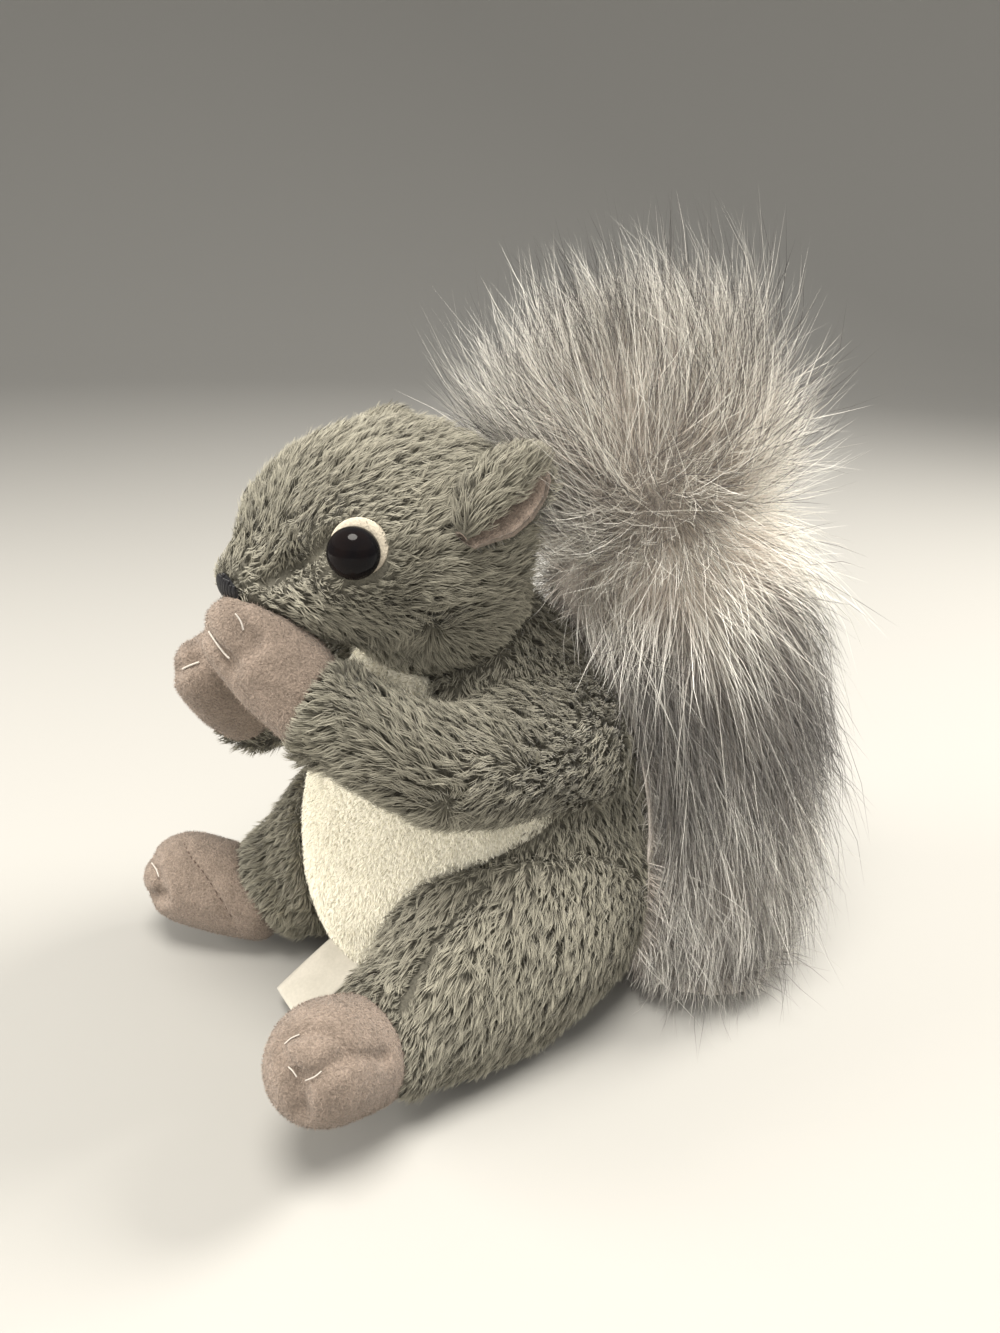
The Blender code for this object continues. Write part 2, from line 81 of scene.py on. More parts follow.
def add_camera():
    """A camera that sees what the photograph saw."""
    lens = bpy.data.cameras.new("camera")
    lens.sensor_width = SENSOR
    lens.lens = FOCAL_PIXELS / IMAGE_HEIGHT * SENSOR
    lens.clip_start = MM
    camera = bpy.data.objects.new("camera", lens)
    turn = Matrix((RIGHT, UP, -FORWARD)).transposed().to_4x4()
    camera.matrix_world = Matrix.Translation(CAMERA_SPOT) @ turn
    scene.collection.objects.link(camera)
    return camera


scene.camera = add_camera()
print("lens", round(scene.camera.data.lens, 2), "mm")

# %% [markdown]
# ## The floor and the light
# Pale cloth and dark eyes both show well in soft light from above. One small round lamp overhead makes
# the shadows between the tufts and the single spark in each eye. A lamp in front, a weak one at the side
# and one behind open the shadows, and they are kept out of the eyes. The floor curves up far behind the
# toy, so that no edge crosses the picture.

# %% Lay the floor and hang the lamps
WARM_LAMP, WARM_SKY = (1.0, 0.955, 0.88), (1.0, 0.97, 0.915)
scene.view_settings.view_transform = "Standard"


def plain_finish(name, colour, roughness):
    """A material of one colour, for what is not part of the toy."""
    material = bpy.data.materials.new(name)
    material.use_nodes = True
    shader = material.node_tree.nodes["Principled BSDF"]
    shader.inputs["Base Color"].default_value = (*colour, 1)
    shader.inputs["Roughness"].default_value = roughness
    return material


FLOOR_COLOUR, FLOOR_GAP = (0.36, 0.355, 0.34), 0.3 * MM


def add_floor(flat=1.1, curve=0.9, bend_to=78, around=96, steps=12):
    """A wide pale table top just under the toy, which curves up on every side."""
    turns = np.linspace(0, 2 * math.pi, around, endpoint=False)
    corners, faces = [(0, 0, 0)], [(0, 1 + k, 1 + (k + 1) % around) for k in range(around)]
    for row, bend in enumerate(np.radians(np.linspace(0, bend_to, steps))):
        reach, rise = flat + curve * math.sin(bend), curve * (1 - math.cos(bend))
        corners += [(reach * math.cos(turn), reach * math.sin(turn), rise) for turn in turns]
        low, high = 1 + row * around, 1 + (row + 1) * around
        if row < steps - 1:
            for k in range(around):
                after = (k + 1) % around
                faces.append((low + k, high + k, high + after, low + after))
    mesh = bpy.data.meshes.new("floor")
    mesh.from_pydata(corners, [], faces)
    mesh.shade_smooth()
    mesh.materials.append(plain_finish("pale_table", FLOOR_COLOUR, 0.7))
    floor = bpy.data.objects.new("floor", mesh)
    floor.location.z = -FLOOR_GAP
    scene.collection.objects.link(floor)


def add_lamp(name, spot, size, watts, in_eyes=False, aim=(0, 0.01, 0.07)):
    """A round soft lamp that looks at the toy."""
    light = bpy.data.lights.new(name, "AREA")
    light.shape = "DISK"
    light.size = size
    light.energy = watts
    light.color = WARM_LAMP
    lamp = bpy.data.objects.new(name, light)
    lamp.location = spot
    lamp.rotation_mode = "QUATERNION"
    lamp.rotation_quaternion = (Vector(aim) - Vector(spot)).to_track_quat("-Z", "Y")
    lamp.visible_glossy = in_eyes
    scene.collection.objects.link(lamp)


def add_sky(strength):
    """An even pale sky."""
    world = bpy.data.worlds.new("sky")
    world.use_nodes = True
    world.node_tree.nodes["Background"].inputs["Color"].default_value = (*WARM_SKY, 1)
    world.node_tree.nodes["Background"].inputs["Strength"].default_value = strength
    scene.world = world


add_floor()
add_lamp("lamp_over", (0.13, -0.13, 0.60), 0.28, 4.6, in_eyes=True)
add_lamp("lamp_front", (-0.28, -0.56, 0.20), 0.30, 5.2, aim=(0, 0, 0.06))
add_lamp("lamp_side", (0.45, -0.35, 0.12), 0.35, 1.3, aim=(0, -0.02, 0.09))
add_lamp("lamp_back", (0.12, 0.55, 0.58), 0.30, 9.2, aim=(0, 0.04, 0.08))
add_sky(0.52)

# %% [markdown]
# ## Numbers for meshes
# A coat of pile is tens of thousands of fibres, far too many to add one at a time. All of them are
# worked out together as long lists of numbers, and each coat then becomes one mesh.

# %% Helpers for lists of points
def unit(vectors):
    """The same directions, each one long."""
    size = np.linalg.norm(vectors, axis=-1, keepdims=True)
    return vectors / np.maximum(size, 1e-12)


def ease(low, high, values):
    """0 below low, 1 above high, and a soft step between."""
    share = np.clip((values - low) / (high - low), 0, 1)
    return share * share * (3 - 2 * share)


def flat_on(normals, ways):
    """The part of each way that runs along the surface, one long."""
    return unit(ways - normals * np.sum(ways * normals, axis=1, keepdims=True))


def wander(points, size, seed):
    """Three smooth values at each point, mostly between -1 and 1, that change over about that size."""
    dice = np.random.default_rng(seed)
    waves = dice.normal(size=(3, 6, 3)) * (2 / size)
    shifts = dice.uniform(0, 2 * math.pi, (3, 6))
    return np.sin(np.einsum("nk,cwk->ncw", points, waves) + shifts).mean(axis=2) * 1.8


def arrays(mesh):
    """The points and triangles of a mesh."""
    mesh.calc_loop_triangles()
    points = np.empty(len(mesh.vertices) * 3)
    mesh.vertices.foreach_get("co", points)
    triangles = np.empty(len(mesh.loop_triangles) * 3, dtype=np.int32)
    mesh.loop_triangles.foreach_get("vertices", triangles)
    return points.reshape(-1, 3), triangles.reshape(-1, 3)


def normals_of(points, triangles):
    """The outward direction at each point."""
    a, b, c = (points[triangles[:, k]] for k in range(3))
    across = np.cross(b - a, c - a)
    total = np.zeros_like(points)
    for k in range(3):
        np.add.at(total, triangles[:, k], across)
    return unit(total)


def add_shape(name, points, faces, material, marks=None, body="root"):
    """One smooth mesh from points and lists of faces. marks are two numbers for each point."""
    mesh = bpy.data.meshes.new(name)
    corners = np.concatenate([np.asarray(f, dtype=np.int32).ravel() for f in faces])
    counts = np.concatenate([np.full(len(f), f.shape[1]) for f in faces])
    mesh.vertices.add(len(points))
    mesh.vertices.foreach_set("co", np.asarray(points, dtype=np.float32).ravel())
    mesh.loops.add(len(corners))
    mesh.loops.foreach_set("vertex_index", corners)
    mesh.polygons.add(len(counts))
    mesh.polygons.foreach_set("loop_start", (np.cumsum(counts) - counts).astype(np.int32))
    if marks is not None:
        layer = mesh.uv_layers.new(name="OFBake")
        layer.data.foreach_set("uv", np.asarray(marks, dtype=np.float32)[corners].ravel())
    mesh.update(calc_edges=True)
    mesh.shade_smooth()
    mesh.materials.append(material)
    piece = bpy.data.objects.new(name, mesh)
    scene.collection.objects.link(piece)
    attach(piece, body)
    return piece


print("a soft step from 0 to 1:", ease(0, 1, np.array([0, 0.25, 0.5, 1])))

# %% [markdown]
# ## Where a pixel lands
# Creases, stitches and swirls in the pile are easiest to place by looking at the picture. A ray from
# the camera through a pixel meets the toy at a real point, and the seam or stitch is laid there, so it
# also sits right when the toy is seen from the side.

# %% Cast a ray through a pixel
node_trees = {}


def tree_of(names):
    """A search tree over the surfaces of these nodes."""
    key = tuple(sorted(names))
    if key not in node_trees:
        points, faces, count = [], [], 0
        for name in key:
            p, f = arrays(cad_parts[name].data)
            points.append(p)
            faces.append(f + count)
            count += len(p)
        every = np.concatenate(points).tolist()
        node_trees[key] = BVHTree.FromPolygons(every, np.concatenate(faces).tolist())
    return node_trees[key]


def seen_at(pixel, *names):
    """The point of these nodes that the camera sees at a pixel, or the nearest if it looks past them."""
    across = (pixel[0] - IMAGE_WIDTH / 2) / FOCAL_PIXELS
    down = (pixel[1] - IMAGE_HEIGHT / 2) / FOCAL_PIXELS
    way = (FORWARD + RIGHT * across - UP * down).normalized()
    tree = tree_of(names)
    spot = tree.ray_cast(CAMERA_SPOT, way)[0]
    if spot is None:
        passing = [tree.find_nearest(CAMERA_SPOT + way * (k * MM)) for k in range(60, 320)]
        spot = min(passing, key=lambda found: found[3])[0]
    return np.array(spot)


def seen_line(pixels, *names):
    """The points that the camera sees at several pixels."""
    return np.array([seen_at(p, *names) for p in pixels])


def mirrored(points):
    """The same points on the toy's other side."""
    return points * np.array([-1, 1, 1])


def near_line(points, line):
    """How far each point is from a line of several points, and the nearest point on it."""
    best = np.full(len(points), np.inf)
    foot = np.zeros_like(points)
    for a, b in zip(line[:-1], line[1:]):
        share = np.clip((points - a) @ (b - a) / np.dot(b - a, b - a), 0, 1)
        spot = a + share[:, None] * (b - a)
        far = np.linalg.norm(points - spot, axis=1)
        closer = far < best
        best[closer] = far[closer]
        foot[closer] = spot[closer]
    return best, foot


print("the near thigh is seen at", np.round(seen_at((520, 900), "left_leg") / MM, 1), "mm")

# %% [markdown]
# ## Sewn cloths
# Each stuffed piece is a bag of knitted cloth, and the pile stands on it. The model's solids reach to
# the tips of the pile, so the cloth lies a few millimetres inside them. Where two pieces are sewn
# together, or where the toy sits on the table, the pile is squashed, and there the cloth stays out.
# Remeshing gives each cloth small even faces, so that it can be eased in and creased smoothly. A seam's
# fold is a groove along a line on the cloth, and the line sinks with it.

# %% Make a cloth inside a node
UNFELT_NODES = (
    "left_eye_washer", "right_eye_washer", "tail",
    "left_ear", "right_ear", "left_ear_lining", "right_ear_lining",
)


class Cloth:
    """A skin as points, triangles and outward directions, and how free each point is of other pieces."""

    def __init__(self, node, points, triangles, free_from=0.6 * MM, free_at=7 * MM, alone=False, past=()):
        self.node = node
        self.points, self.triangles = points, triangles
        self.normals = normals_of(points, triangles)
        self.gaps = np.maximum(points[:, 2], 0)
        if not alone:
            names = [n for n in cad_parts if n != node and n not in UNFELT_NODES + past]
            tree = tree_of(names)
            self.gaps = np.minimum([tree.find_nearest(p)[3] for p in points.tolist()], self.gaps)
        self.free = ease(free_from, free_at, self.gaps)

    def press_in(self, depth):
        """Moves the cloth inwards where it is free of other pieces."""
        self.points = self.points - self.normals * (depth * self.free)[:, None]

    def soften(self, rounds):
        """Moves each point halfway to the middle of its neighbours."""
        pairs = np.concatenate([self.triangles[:, [a, b]] for a, b in ((0, 1), (1, 2), (2, 0))])
        count = np.bincount(pairs.ravel(), minlength=len(self.points))[:, None]
        for _ in range(rounds):
            total = np.zeros_like(self.points)
            np.add.at(total, pairs[:, 0], self.points[pairs[:, 1]])
            np.add.at(total, pairs[:, 1], self.points[pairs[:, 0]])
            self.points = (self.points + total / np.maximum(count, 1)) / 2
        self.normals = normals_of(self.points, self.triangles)

    def crease(self, line, width, depth):
        """Presses a groove into the cloth along a line."""
        far, _ = near_line(self.points, line)
        self.points = self.points - self.normals * (depth * np.exp(-((far / width) ** 2)))[:, None]
        self.normals = normals_of(self.points, self.triangles)

    def show(self, name, material, slot, fill=0.7):
        """Puts the cloth in the scene in place of its node."""
        piece = add_shape(name, self.points, [self.triangles], material)
        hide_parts(self.node)
        print(name, len(self.triangles), "triangles")


def fold_along(cloth, line, grooves):
    """Presses grooves of some widths and depths along a line on a cloth, and gives the pressed line."""
    nearest = [np.argmin(np.linalg.norm(cloth.points - p, axis=1)) for p in line]
    on_the_cloth = cloth.points[nearest]
    for width, depth in grooves:
        cloth.crease(on_the_cloth, width, depth)
    return cloth.points[nearest]


def sewn_over(node, grain, depth, steps=1, **ways):
    """A cloth with even faces one grain wide, inside a node by a depth that is reached in some steps."""
    rough = bpy.data.objects.new("rough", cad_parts[node].data.copy())
    scene.collection.objects.link(rough)
    remesh = rough.modifiers.new("even", "REMESH")
    remesh.mode = "VOXEL"
    remesh.voxel_size = grain
    ready = rough.evaluated_get(bpy.context.evaluated_depsgraph_get())
    cloth = Cloth(node, *arrays(ready.to_mesh()), **ways)
    ready.to_mesh_clear()
    bpy.data.objects.remove(rough)
    for _ in range(steps):
        cloth.press_in(depth / steps)
        cloth.soften(3)
    return cloth


print("a cloth isn't held off by", UNFELT_NODES)

# %% [markdown]
# ## Pile
# Plush is a field of fine straight fibres, a few millimetres long. On a used toy they lean over and
# cling together in tufts, with pale tips and dark gaps between. Each fibre here is a narrow ribbon with
# a bend and a pointed tip. Fibres near one another are drawn to a common tip, which makes the tufts.
# Each ribbon carries two marks: a tone that is its own, and how far along the fibre a point is.

# %% Make ribbons from lines
EDGE_MARK = 0.002


def ribbon_triangles(bends):
    """How many triangles a ribbon of some bends has."""
    return 2 * bends - 1


def add_ribbons(name, lines, sides, widths, tones, material):
    """A mesh of one pointed ribbon for each line. widths are one for each bend, as shares of sides."""
    count, bends = lines.shape[0], lines.shape[1] - 1
    each = 2 * bends + 1
    points = np.empty((count, each, 3), dtype=np.float32)
    marks = np.empty((count, each, 2), dtype=np.float32)
    for k in range(bends):
        half = sides * (widths[k] / 2)
        points[:, 2 * k] = lines[:, k] - half
        points[:, 2 * k + 1] = lines[:, k] + half
        marks[:, 2 * k] = np.stack([tones - EDGE_MARK, np.full(count, k / bends)], axis=1)
        marks[:, 2 * k + 1] = np.stack([tones + EDGE_MARK, np.full(count, k / bends)], axis=1)
    points[:, -1] = lines[:, -1]
    marks[:, -1] = np.stack([tones, np.ones(count)], axis=1)
    first = np.arange(count, dtype=np.int32)[:, None] * each
    quads = [first + np.array([2 * k, 2 * k + 1, 2 * k + 3, 2 * k + 2]) for k in range(bends - 1)]
    tips = first + np.array([2 * bends - 2, 2 * bends - 1, 2 * bends])
    faces = [np.concatenate(quads)] if quads else []
    faces.append(tips)
    made = add_shape(name, points.reshape(-1, 3), faces, material, marks.reshape(-1, 2))
    print(name, count, "fibres,", count * ribbon_triangles(bends), "triangles")
    return made


print("a ribbon of 2 bends has", ribbon_triangles(2), "triangles")

# %% Scatter the roots
LEAST_GAP = 0.45 * MM


def scatter(cloth, per_mm2, seed, keep=None, least_gap=LEAST_GAP):
    """Roots spread evenly over the cloth, with the direction and freedom there."""
    dice = np.random.default_rng(seed)
    corners = cloth.triangles
    a, b, c = (cloth.points[corners[:, k]] for k in range(3))
    area = np.linalg.norm(np.cross(b - a, c - a), axis=1) / 2
    weight = area * (cloth.gaps[corners].max(axis=1) > least_gap)
    if keep is not None:
        weight = weight * keep((a + b + c) / 3)
    along = np.cumsum(weight)
    count = int(along[-1] / MM ** 2 * per_mm2)
    steps = (np.arange(count) + dice.uniform(0, 1, count)) / count * along[-1]
    pick = np.minimum(np.searchsorted(along, steps), len(corners) - 1)
    r, s = np.sqrt(dice.uniform(0, 1, count)), dice.uniform(0, 1, count)
    shares = np.stack([1 - r, r * (1 - s), r * s], axis=1)[:, :, None]
    spots = (cloth.points[corners[pick]] * shares).sum(axis=1)
    normals = unit((cloth.normals[corners[pick]] * shares).sum(axis=1))
    free = (cloth.free[corners[pick]] * shares[:, :, 0]).sum(axis=1)
    return spots, normals, free, dice


def tuft_numbers(spots, per_tuft, dice):
    """For each root the number of the tuft that it belongs to, and the roots at the tufts' middles."""
    middles = dice.choice(len(spots), max(1, int(len(spots) / per_tuft)), replace=False)
    tree = KDTree(len(middles))
    for k, p in enumerate(spots[middles].tolist()):
        tree.insert(p, k)
    tree.balance()
    return np.array([tree.find(p)[1] for p in spots.tolist()]), middles


print("roots usually stand at least", round(LEAST_GAP / MM, 2), "mm off other pieces")

# %% Draw the tufts
PILE_WAYS = {
    "width": 0.22 * MM, "lean": 58, "per_tuft": 6, "cling": 0.38, "shortest": 0.6, "unruly": 0.28,
    "least_gap": LEAST_GAP, "keep": None, "shorter": None,
}
LEAN_AT_ROOT, LEAN_AT_TIP = -22, 20
STROKE_PATCH, TONE_PATCH = 6 * MM, 9 * MM
TIP_SCATTER, ABOVE_THE_TABLE = 0.12 * MM, 0.1 * MM


def grow_pile(name, cloth, comb, material, slot, length, per_mm2, seed, **own_ways):
    """Short pile over a cloth. comb gives the way in which the pile is stroked at each root."""
    ways = {**PILE_WAYS, **own_ways}
    lean, cling, unruly, shortest = (ways[w] for w in ("lean", "cling", "unruly", "shortest"))
    spots, normals, free, dice = scatter(cloth, per_mm2, seed, ways["keep"], ways["least_gap"])
    count = len(spots)
    tuft, middles = tuft_numbers(spots, ways["per_tuft"], dice)

    stroke = flat_on(normals, comb(spots, normals) + unruly * wander(spots, STROKE_PATCH, seed + 1))
    tuft_way = dice.normal(size=(len(middles), 3)) * unruly
    tuft_lean = dice.normal(size=len(middles)) * 9
    tuft_tone = dice.uniform(0, 1, len(middles))
    stroke = flat_on(normals, stroke + tuft_way[tuft] + dice.normal(size=(count, 3)) * 0.10)

    reach = length * (shortest + (1 - shortest) * free) * dice.uniform(0.82, 1.12, count)
    if ways["shorter"]:
        reach = reach * ways["shorter"](spots)
    low = np.radians(np.clip(lean + LEAN_AT_ROOT + tuft_lean[tuft] + dice.normal(size=count) * 4, 5, 75))
    high = np.radians(np.clip(lean + LEAN_AT_TIP + tuft_lean[tuft] + dice.normal(size=count) * 6, 10, 84))
    start = normals * np.cos(low)[:, None] + stroke * np.sin(low)[:, None]
    finish = normals * np.cos(high)[:, None] + stroke * np.sin(high)[:, None]
    bend = spots + start * (reach * 0.5)[:, None]
    tip = bend + finish * (reach * 0.5)[:, None]

    common_bend = bend[middles][tuft]
    common_tip = tip[middles][tuft]
    bend = bend + (common_bend - bend) * (cling * 0.45)
    tip = tip + (common_tip - tip) * cling + dice.normal(size=(count, 3)) * TIP_SCATTER
    lines = np.stack([spots, bend, tip], axis=1)
    lines[:, :, 2] = np.maximum(lines[:, :, 2], ABOVE_THE_TABLE)

    turn = dice.uniform(-0.9, 0.9, count)[:, None]
    flat = unit(np.cross(stroke, normals))
    sides = unit(flat * np.cos(turn) + np.cross(start, flat) * np.sin(turn)) * ways["width"]
    patch = 0.5 + 0.5 * wander(spots, TONE_PATCH, seed + 2)[:, 0]
    tones = 0.45 * tuft_tone[tuft] + 0.25 * dice.uniform(0, 1, count) + 0.30 * patch
    tones = np.clip(tones, 0.01, 0.99)
    piece = add_ribbons(name, lines, sides, (1.0, 0.85), tones, material)
    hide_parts(cloth.node)


print("pile that isn't told otherwise leans", PILE_WAYS["lean"], "degrees")

# %% [markdown]
# ## Finishes for fibres and cloths
# Colour along a fibre is the same effect on every coat: dark where the light does not reach, which is
# painted shade, full in the middle, and pale at the tip, which is a painted highlight. It is a node group
# with three colours as its inputs. Each finish places it with its own colours.

# %% Helpers for node groups
COLOUR, NUMBER = "NodeSocketColor", "NodeSocketFloat"


def new_group(name, inputs, outputs):
    """An empty shader node group with these sockets."""
    group = bpy.data.node_groups.new(name, "ShaderNodeTree")
    for kind, socket, value in inputs:
        made = group.interface.new_socket(socket, in_out="INPUT", socket_type=kind)
        made.default_value = value
    for kind, socket in outputs:
        group.interface.new_socket(socket, in_out="OUTPUT", socket_type=kind)
    group.nodes.new("NodeGroupInput").name = "in"
    group.nodes.new("NodeGroupOutput").name = "out"
    return group


def mix_colour(tree, share, first, second):
    """A node that mixes two colour sockets by a share."""
    node = tree.nodes.new("ShaderNodeMix")
    node.data_type = "RGBA"
    tree.links.new(share, node.inputs["Factor"])
    tree.links.new(first, node.inputs[6])
    tree.links.new(second, node.inputs[7])
    return node.outputs[2]


def soft_step(tree, value, low, high):
    """A node that goes softly from 0 at low to 1 at high."""
    node = tree.nodes.new("ShaderNodeMapRange")
    node.interpolation_type = "SMOOTHSTEP"
    tree.links.new(value, node.inputs["Value"])
    node.inputs["From Min"].default_value = low
    node.inputs["From Max"].default_value = high
    return node.outputs["Result"]


def calc(tree, kind, first, second):
    """A math node. Its inputs are sockets or numbers."""
    node = tree.nodes.new("ShaderNodeMath")
    node.operation = kind
    for socket, value in zip(node.inputs, (first, second)):
        if isinstance(value, (int, float)):
            socket.default_value = value
        else:
            tree.links.new(value, socket)
    return node.outputs[0]


def fibre_marks(tree):
    """The tone of a fibre and the place along it."""
    marks = tree.nodes.new("ShaderNodeUVMap")
    marks.uv_map = "OFBake"
    split = tree.nodes.new("ShaderNodeSeparateXYZ")
    tree.links.new(marks.outputs["UV"], split.inputs[0])
    return split.outputs["X"], split.outputs["Y"]


def scaled_colour(tree, colour, amount):
    """A colour made lighter or darker by a number."""
    node = tree.nodes.new("ShaderNodeVectorMath")
    node.operation = "SCALE"
    tree.links.new(colour, node.inputs[0])
    tree.links.new(amount, node.inputs["Scale"])
    return node.outputs[0]


print("a group takes", COLOUR, "and", NUMBER)

# %% Build the fibre colour group
def make_fibre_group():
    """Root, middle and tip colours along a fibre, with painted shade at the root and a painted highlight
    at the tip, and lighter or darker by its tone.
    """
    grey = (0.5, 0.5, 0.5, 1)
    inputs = [(COLOUR, "Root", grey), (COLOUR, "Middle", grey), (COLOUR, "Tip", grey)]
    inputs += [(NUMBER, "Variety", 0.5)]
    group = new_group("fibre_colour", inputs, [(COLOUR, "Color")])
    given, out = group.nodes["in"].outputs, group.nodes["out"]
    tone, along = fibre_marks(group)
    lower = mix_colour(group, soft_step(group, along, 0, 0.6), given["Root"], given["Middle"])
    whole = mix_colour(group, soft_step(group, along, 0.35, 1), lower, given["Tip"])
    swing = calc(group, "MULTIPLY", calc(group, "SUBTRACT", tone, 0.5), given["Variety"])
    bright = calc(group, "ADD", swing, 1.0)
    group.links.new(scaled_colour(group, whole, bright), out.inputs["Color"])
    return group


fibre_group = make_fibre_group()
print("fibre group:", [s.name for s in fibre_group.interface.items_tree])

# %% Build the cloth group
def make_cloth_group():
    """Two colours in soft patches with fine grain, and a height for the nap."""
    grey = (0.5, 0.5, 0.5, 1)
    inputs = [(COLOUR, "Main", grey), (COLOUR, "Patches", grey)]
    inputs += [(NUMBER, "Patch Scale", 150), (NUMBER, "Grain Scale", 2500), (NUMBER, "Grain", 0.3)]
    group = new_group("brushed_cloth", inputs, [(COLOUR, "Color"), (NUMBER, "Height")])
    given, out = group.nodes["in"].outputs, group.nodes["out"]
    place = group.nodes.new("ShaderNodeTexCoord")
    noises = []
    for scale, detail in (("Patch Scale", 3), ("Grain Scale", 4)):
        noise = group.nodes.new("ShaderNodeTexNoise")
        noise.inputs["Detail"].default_value = detail
        group.links.new(place.outputs["Object"], noise.inputs["Vector"])
        group.links.new(given[scale], noise.inputs["Scale"])
        noises.append(noise.outputs["Fac"])
    patches, grain = noises
    blend = mix_colour(group, soft_step(group, patches, 0.38, 0.66), given["Main"], given["Patches"])
    swing = calc(group, "MULTIPLY", calc(group, "SUBTRACT", grain, 0.5), given["Grain"])
    bright = calc(group, "ADD", calc(group, "MULTIPLY", swing, 2.0), 1.0)
    group.links.new(scaled_colour(group, blend, bright), out.inputs["Color"])
    group.links.new(grain, out.inputs["Height"])
    return group


cloth_group = make_cloth_group()
print("cloth group:", [s.name for s in cloth_group.interface.items_tree])

# %% Make a finish from a group
def new_finish(name, group, values, roughness=0.8, sheen=0.0, bump=0.0, specular=0.3):
    """A material whose colour comes from a group placed with its own values."""
    material = bpy.data.materials.new(name)
    material.use_nodes = True
    tree = material.node_tree
    shader = tree.nodes["Principled BSDF"]
    effect = tree.nodes.new("ShaderNodeGroup")
    effect.node_tree = group
    for socket, value in values.items():
        effect.inputs[socket].default_value = value if isinstance(value, (int, float)) else (*value, 1)
    tree.links.new(effect.outputs["Color"], shader.inputs["Base Color"])
    shader.inputs["Roughness"].default_value = roughness
    shader.inputs["Specular IOR Level"].default_value = specular
    shader.inputs["Sheen Weight"].default_value = sheen
    if bump:
        relief = tree.nodes.new("ShaderNodeBump")
        relief.inputs["Distance"].default_value = bump
        tree.links.new(effect.outputs["Height"], relief.inputs["Height"])
        tree.links.new(relief.outputs["Normal"], shader.inputs["Normal"])
    return material


# The dark root colour is painted shade near the cloth, and the pale tip colour is a painted highlight.
SAGE_ROOT, SAGE_MIDDLE, SAGE_TIP = (0.138, 0.130, 0.103), (0.204, 0.193, 0.154), (0.37, 0.352, 0.285)
grey_pile = new_finish(
    "grey_plush_pile", fibre_group,
    {"Root": SAGE_ROOT, "Middle": SAGE_MIDDLE, "Tip": SAGE_TIP, "Variety": 0.5}, sheen=0.15,
)
# This cloth is as dark as the fibre roots: painted shade in the gaps between the tufts and in the seam
# creases.
grey_cloth = new_finish(
    "grey_plush_cloth", cloth_group,
    {"Main": (0.125, 0.118, 0.095), "Patches": (0.105, 0.099, 0.080), "Grain": 0.5}, bump=0.2 * MM,
)
# Its darker root is painted shade and its paler tip a painted highlight, as on every fibre coat.
cream_pile = new_finish(
    "cream_plush_pile", fibre_group,
    {"Root": (0.66, 0.63, 0.52), "Middle": (0.82, 0.79, 0.67), "Tip": (0.90, 0.88, 0.78), "Variety": 0.2},
    sheen=0.2,
)
cream_cloth = new_finish(
    "cream_plush_cloth", cloth_group,
    {"Main": (0.66, 0.63, 0.54), "Patches": (0.60, 0.57, 0.48), "Grain": 0.4}, bump=0.2 * MM,
)
print("finishes so far:", [m.name for m in bpy.data.materials])

# %% [markdown]
# ## The head
# The head is cut from a few panels. A dart runs from the front of each eye to the snout, and pulls the
# cloth in. The pile is stroked back from the nose over the crown, and it stands out in a swirl where
# the cheek dart ends. The crease is pressed first, and the pile then follows the cloth. No fibre grows
# in the seam itself, and beside it they are short and lean away, so that the dart can be seen.

# %% Sew the head and mark its darts
DART_PIXELS = ((334, 536), (318, 547), (300, 558), (281, 567), (262, 574))
CHEEK_SWIRL_PIXEL = (442, 642)
NOSE_SPOT = np.array(sum(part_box("nose"), Vector()) / 2)
DOWN = np.array([0, 0, -1.0])
DART_GROOVES = ((3.4 * MM, 1.1 * MM), (1.4 * MM, 1.9 * MM))

dart = seen_line(DART_PIXELS, "head")
cheek_swirl = seen_at(CHEEK_SWIRL_PIXEL, "head")
head = sewn_over("head", grain=1.3 * MM, depth=3.0 * MM)
fold_along(head, mirrored(dart), DART_GROOVES)
dart = fold_along(head, dart, DART_GROOVES)
head.show("head_cloth", grey_cloth, "grey_plush")
print("the cheek swirl is at", np.round(cheek_swirl / MM, 1))

# %% Ways to stroke the pile
PARTING_REACH, PARTING_STRENGTH = 2.5 * MM, 1.15
PARTING_SHORT, PARTING_LONG = 0.7 * MM, 3.2 * MM


def both_sides(comb):
    """Works a comb out on the near side, and mirrors it on the far side."""
    def mirrored_comb(points, normals):
        side = np.where(points[:, :1] < 0, -1.0, 1.0) * np.array([[1, 0, 0]]) + np.array([[0, 1, 1]])
        return comb(points * side, normals * side) * side
    return mirrored_comb


def swirl(ways, points, middle, reach):
    """Pile that stands out all round a point."""
    off = points - middle
    pull = np.exp(-((np.linalg.norm(off, axis=1) / reach) ** 2))[:, None]
    return ways * (1 - pull) + unit(off) * pull * 1.5


def away_from(ways, points, line):
    """Pile that leans away from both sides of a line."""
    far, foot = near_line(points, line)
    pull = np.exp(-((far / PARTING_REACH) ** 2))[:, None] * PARTING_STRENGTH
    return ways + unit(points - foot) * pull


def shorter_at(points, line, least):
    """A length share that falls towards a line."""
    far, _ = near_line(points, line)
    return least + (1 - least) * ease(PARTING_SHORT, PARTING_LONG, far)


def shorter_near(names, near, far, least):
    """A length share that falls towards some nodes."""
    tree = tree_of(names)

    def share(points):
        gaps = np.array([tree.find_nearest(p)[3] for p in points.tolist()])
        return least + (1 - least) * ease(near, far, gaps)
    return share


def on_the_near_side(points):
    """Each point, or its mirror if it lies on the far side."""
    return np.concatenate([np.abs(points[:, :1]), points[:, 1:]], axis=1)


def clear_of(line, gap):
    """A test that leaves out what lies close to a line."""
    return lambda points: near_line(on_the_near_side(points), line)[0] > gap


print("pile parts up to about", PARTING_REACH / MM, "mm from a seam")

# %% Stroke and grow the head's pile
CHEEK_TOP, CHEEK_DEPTH, CHEEK_SWIRL_REACH = 96 * MM, 14 * MM, 8 * MM
DART_SEAM, DART_SHORT = 0.4 * MM, 0.42


